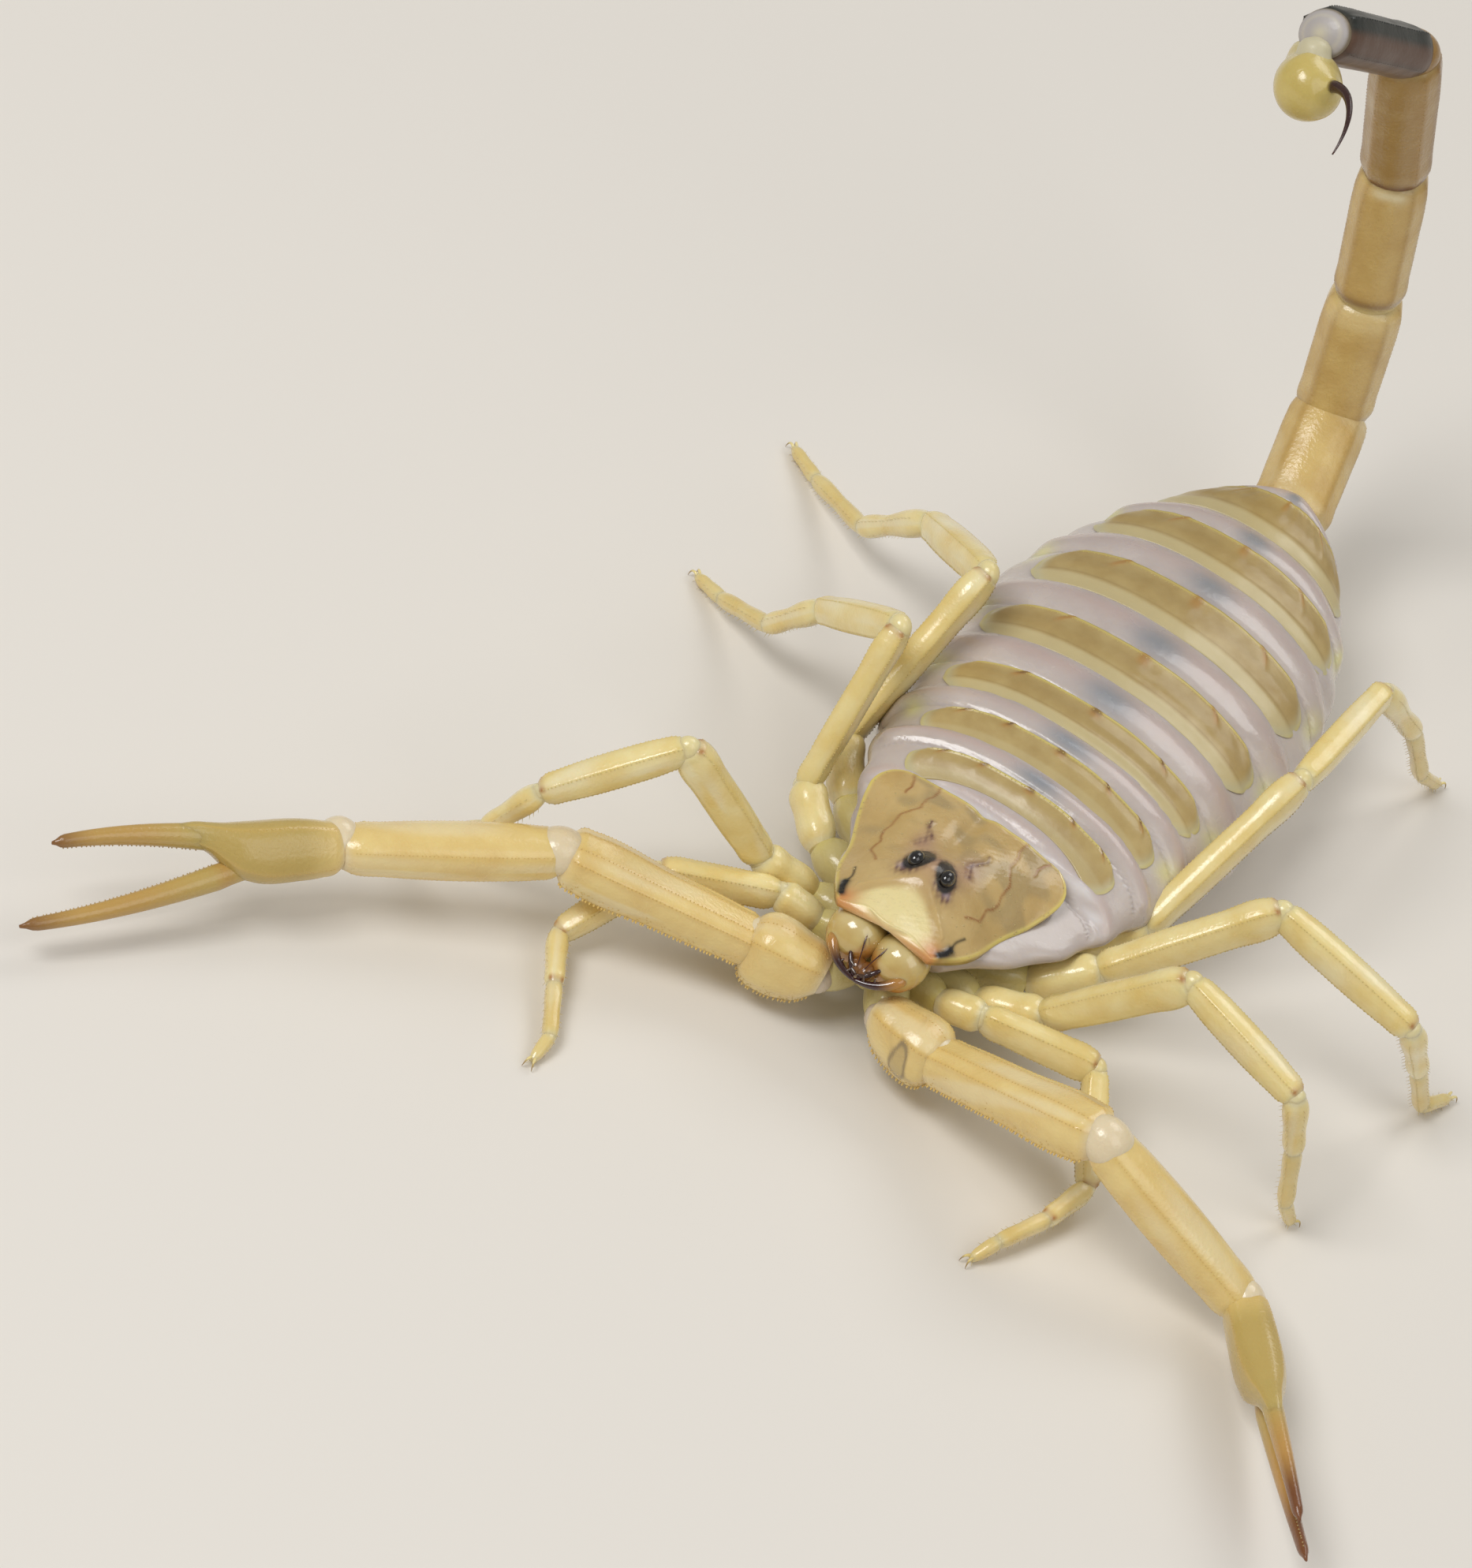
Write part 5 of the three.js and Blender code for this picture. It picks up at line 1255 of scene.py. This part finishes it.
def jaw_patches(side):
    """A round bulb, a hooked moving finger that runs along its front, a fixed finger, a spur and teeth."""
    axes = limb_axes(-90 + side * 2, -6)
    stations = [(0.0, 1.9, 1.8, 0.0), (0.5, 2.8, 2.6, 0.0), (1.4, 3.4, 3.1, 0.0), (2.2, 3.3, 3.0, -0.05),
                (2.8, 2.8, 2.5, -0.15), (3.25, 1.9, 1.7, -0.3), (3.45, 0.9, 0.9, -0.35)]
    front = lambda x, angle: np.clip(smooth((x - 1.9) / 1.1) * smooth(
        (0.35 - np.sin(angle)) / 0.9 + 0.9 * np.maximum(-side * np.cos(angle), 0)), 0, 0.85)
    # painted highlight: a pale patch on top of each bulb, where the shine of its glossy front lies
    gleam = lambda x, angle: 0.5 * bell(x - 2.3, 0.5) * bell(np.sin(angle) - 0.9, 0.3)
    patches = [tube(stations, np.array(JAW_ROOT) * (side, 1, 1), axes, power=2.05, rows=44, sides=52,
                    warm=front, pale=gleam)]
    moving, moving_horn = drawn_horn(MOVING_FINGER, side, 0.4, 0.22, warm=0.75)
    fixed, fixed_horn = drawn_horn(FIXED_FINGER, side, 0.33, 0.0, 0.95, warm=0.9)
    spur_horn = drawn_horn(INNER_SPUR, side, 0.06, -0.1, warm=0.9)[1]
    mouth = ball((side * 0.3, -1.4, 6.5), (0.62, 0.68, 0.62), warm=0.95, dark=0.6)
    patches += [moving_horn, fixed_horn, spur_horn, mouth]
    for line, way, reach in ((moving, (-0.3, 0.3, 0.7), 0.42), (fixed, (-0.8, -0.5, 0.1), 0.45)):
        for share in (0.66, 0.84):
            t = np.linspace(0, 1, 8)
            root = line[int(share * (len(line) - 1))]
            tooth = root + t[:, None] * unit(np.array(way) * (side, 1, 1)) * reach
            patches.append(horn(tooth, 0.17 * (1 - 0.8 * t), 12, dark=0.95))
    for x, y, z in ((1.9, -1.1, 6.9), (0.5, -0.9, 8.2)):
        way = unit(np.array([side * (x - 1.4) * 0.5, -0.8, -0.1]))
        patches.append(spikes(np.array([[side * x, y + 0.2, z]]), way, 0.55, 0.025, dark=0.5))
    return patches


for side, label in ((1, "left"), (-1, "right")):
    build(f"jaw_{label}_shell", jaw_patches(side), jaw_shell, [f"jaw_{label}"])

# %% [markdown]
# ## The underside
# Seen from below, the hip plates of the legs and the claw arms fan out from a small breast plate, two
# combs hang behind them and four belly plates cover the rest. Flat cut shapes would do where so little
# shows, but the loop of the back plates and the tube of the limbs are there already and follow the body's
# own curve.

# %% belly plates
# front edge, rear edge and reach to either side in degrees
BELLY_PLATES = [(22, 28.4, 46), (29.2, 35.4, 46), (36.2, 42.2, 48), (43, 50.4, 54)]


def belly_patch(front, rear, reach, rows=26, columns=90):
    """A back plate's closed loop, laid along the belly, with a dent for each breathing hole."""
    loop_s = np.concatenate([np.linspace(0, 1, rows), [1.0], np.linspace(0.94, 0.02, 6)])
    depth = np.concatenate([np.zeros(rows), [0.6], np.ones(6)])
    across = np.linspace(-1, 1, columns)
    s, x = np.meshgrid(loop_s, across, indexing="ij")
    down = depth[:, None] + 0 * x
    angle = -np.pi / 2 - x * np.radians(reach) * (1 - 0.1 * np.abs(2 * s - 1) ** 3)
    y = front + (rear - front) * s
    from_rear = (1 - s) * (rear - front)
    rim = bell(from_rear - 0.15, 0.25)
    slit = bell(np.hypot((np.abs(x) - 0.62) * 6, (s - 0.5) * 5), 0.5)
    height = 0.1 + 0.42 * smooth(s * 3) + 0.08 * rim - 0.12 * slit
    grow = height - down * (height + UNDERSIDE)
    return sheet(np.swapaxes(body_point(y, angle, grow), 0, 1), wrap=True, caps=(True, True),
                 rim=np.swapaxes(rim, 0, 1), black=np.swapaxes(slit * 0.8, 0, 1))


for number, plate in enumerate(BELLY_PLATES, start=1):
    build(f"belly_plate_shell_{number}", [belly_patch(*plate)], belly_shell,
          [f"belly_plate_{number}"])

# %% hip plates
# place and width of each hip plate's inner end: four legs, then the claw arm
HIP_ROOTS = [(0.9, 3, 4, 2.1), (0.9, 4.4, 3.8, 2.3), (1.0, 6.8, 3.6, 2.7), (1.1, 9, 3.6, 2.9),
             (0.9, 1.8, 4.3, 2.6)]
HIP_DEPTHS = [2.5, 2.5, 2.5, 2.5, 2.9]


def hip_patches():
    """A rounded tube from the middle to each hip, on both sides, and the breast plate as a tube between."""
    patches = []
    for side in (1, -1):
        for (x, y, z, width), deep, end in zip(HIP_ROOTS, HIP_DEPTHS, [*HIPS, CLAW_HIP]):
            root, tip = np.array([side * x, y, z]), np.array(end) * (side, 1, 1)
            along = tip - root
            length = np.linalg.norm(along)
            axes = limb_axes(math.degrees(math.atan2(along[1], along[0])),
                             math.degrees(math.asin(along[2] / length)))
            shares = [(0, 0.6), (0.5, 0.85), (length * 0.55, 1), (length - 0.6, 0.86), (length, 0.6)]
            stations = [(x_at, width * share, deep * share) for x_at, share in shares]
            patches.append(tube(stations, root, axes, [(-90, 0.06, 12)], power=2.3, rows=30, sides=36,
                                rim=lambda x, angle, far=length: 0.5 * bell(x - far, 0.5)))
    breast = [(0.4, 1.2, 1.4), (1.2, 1.6, 1.8), (3, 2, 2.2), (9, 2.4, 2.4), (10.8, 1.8, 1.9),
              (11.3, 1.2, 1.4)]
    patches.append(tube(breast, np.array([0, 0, 4.2]), limb_axes(90, 0), rows=40, sides=36))
    return patches


build("hip_plate_shells", hip_patches(), belly_shell, ["hip_plates"])


# %% combs
COMB = {"length": 8.6, "bare": 0.8, "teeth": 13, "turn": 0.34, "lift": -0.08}    # turn and lift in radians
COMB_ROOT = (1.1, 11.8, 1.3)
TOOTH_SHARE = 0.72    # how much of its pitch a tooth fills


def comb_patches(side):
    """A flattened bar and, along its rear edge, a row of rounded flat teeth."""
    pitch = (COMB["length"] - COMB["bare"]) / COMB["teeth"]
    turn, lift = COMB["turn"], COMB["lift"]
    axes = np.array([[math.cos(lift) * math.cos(turn), math.cos(lift) * math.sin(turn), -math.sin(lift)],
                     [-math.sin(turn), math.cos(turn), 0],
                     [math.sin(lift) * math.cos(turn), math.sin(lift) * math.sin(turn), math.cos(lift)]])
    place = np.array(COMB_ROOT)
    bar = [(0.05, 0.7, 0.4, 0.3, 0.55), (0.4, 1.2, 0.6, 0.3, 0.55), (4, 1.3, 0.62, 0.3, 0.5),
           (8, 1.1, 0.55, 0.3, 0.4), (8.6, 0.5, 0.3, 0.3, 0.3)]
    tooth_stations = [(0.0, 0.3, 0.4), (0.4, 0.4, 0.45), (1.0, 0.42, 0.45), (1.35, 0.3, 0.3),
                      (1.45, 0.12, 0.12)]
    tooth_axes = np.stack([axes[1], -axes[0], axes[2]])
    patches = [tube(bar, place, axes, rows=30, sides=24)]
    for tooth in range(COMB["teeth"]):
        middle = COMB["length"] - (tooth + TOOTH_SHARE / 2) * pitch
        start = placed(np.array([middle, 1.1, 0.3]), place, axes)
        patches.append(tube(tooth_stations, start, tooth_axes, rows=12, sides=12))
    for patch in patches:    # worked out on the left, mirrored for the right
        patch["points"] = patch["points"] * (side, 1, 1)
    return patches


for side, label in ((1, "left"), (-1, "right")):
    build(f"comb_{label}_shell", comb_patches(side), belly_shell, [f"comb_{label}"])

# %% [markdown]
# ## Floor, light and camera
# A plain pale floor and three large soft lamps show the finishes as they are. A picture of a sky would
# give richer reflections, but with plain lamps a colour looks about as it is written. The camera looks from
# in front and above through a long lens, and is rolled, so that the animal lies slantwise.

# %% the floor
def floor_material():
    """Plain, matt and pale, so that only the animal draws the eye."""
    material = bpy.data.materials.new("pale_floor")
    material.use_nodes = True
    tree = material.node_tree
    shader = tree.nodes["Principled BSDF"]
    shader.inputs["Base Color"].default_value = colour("E9E4DC")
    shader.inputs["Roughness"].default_value = 0.9
    shader.inputs["Specular IOR Level"].default_value = 0.2
    return material


HALF_FLOOR = 3.0
floor_mesh = bpy.data.meshes.new("floor")
corners = [(x * HALF_FLOOR, y * HALF_FLOOR, 0) for x, y in ((-1, -1), (1, -1), (1, 1), (-1, 1))]
floor_mesh.from_pydata(corners, [], [(0, 1, 2, 3)])
floor_mesh.materials.append(floor_material())
floor = bpy.data.objects.new("floor", floor_mesh)
bpy.context.scene.collection.objects.link(floor)


# %% lamps and world
def soft_lamp(name, turn, rise, distance, size, power):
    """A square lamp on a sphere round the animal, facing its middle."""
    lamp = bpy.data.lights.new(name, "AREA")
    lamp.size, lamp.energy = size, power
    holder = bpy.data.objects.new(name, lamp)
    away = Vector(heading(turn, rise))
    holder.location = away * distance
    holder.rotation_euler = away.to_track_quat("Z", "Y").to_euler()
    bpy.context.scene.collection.objects.link(holder)
    return holder


# name, turn, rise, distance, size and power
LAMPS = [("key_lamp", -125, 55, 0.7, 0.28, 2.3), ("fill_lamp", -20, 50, 0.8, 0.5, 1.0),
         ("rear_lamp", 80, 50, 0.8, 0.4, 1.2)]
WORLD_STRENGTH = 0.34
for lamp_values in LAMPS:
    soft_lamp(*lamp_values)
world = bpy.data.worlds.new("soft_world")
world.use_nodes = True
world.node_tree.nodes["Background"].inputs["Color"].default_value = colour("F4F2EE")
world.node_tree.nodes["Background"].inputs["Strength"].default_value = WORLD_STRENGTH
bpy.context.scene.world = world
bpy.context.scene.view_settings.view_transform = "Standard"
print("lamps:", len(LAMPS), "and a world of strength", WORLD_STRENGTH)

# %% the camera
PICTURE = (1866, 1988)
SENSOR = 36.0
FOCAL_LENGTH = 8520    # in the picture's own units, so that it needs no sensor size
distance, target = 0.4, Vector(np.array([-13.8, 8.6, 4.0]) * MILLIMETRE + datum)
azimuth, elevation, roll = math.radians(14), math.radians(42), math.radians(23.9)
backward = Vector((math.sin(azimuth) * math.cos(elevation), -math.cos(azimuth) * math.cos(elevation),
                   math.sin(elevation)))
level = Vector((math.cos(azimuth), math.sin(azimuth), 0))
upright = backward.cross(level)
right = math.cos(roll) * level + math.sin(roll) * upright
top = math.cos(roll) * upright - math.sin(roll) * level
lens = bpy.data.cameras.new("camera")
lens.sensor_width = SENSOR
lens.lens = SENSOR * FOCAL_LENGTH / max(PICTURE)
lens.clip_start, lens.clip_end = 0.01, 20
camera = bpy.data.objects.new("camera", lens)
turned = Matrix((right, top, backward)).transposed().to_4x4()
camera.matrix_world = Matrix.Translation(target + backward * distance) @ turned
bpy.context.scene.collection.objects.link(camera)
bpy.context.scene.camera = camera
print("lens:", round(lens.lens, 2))
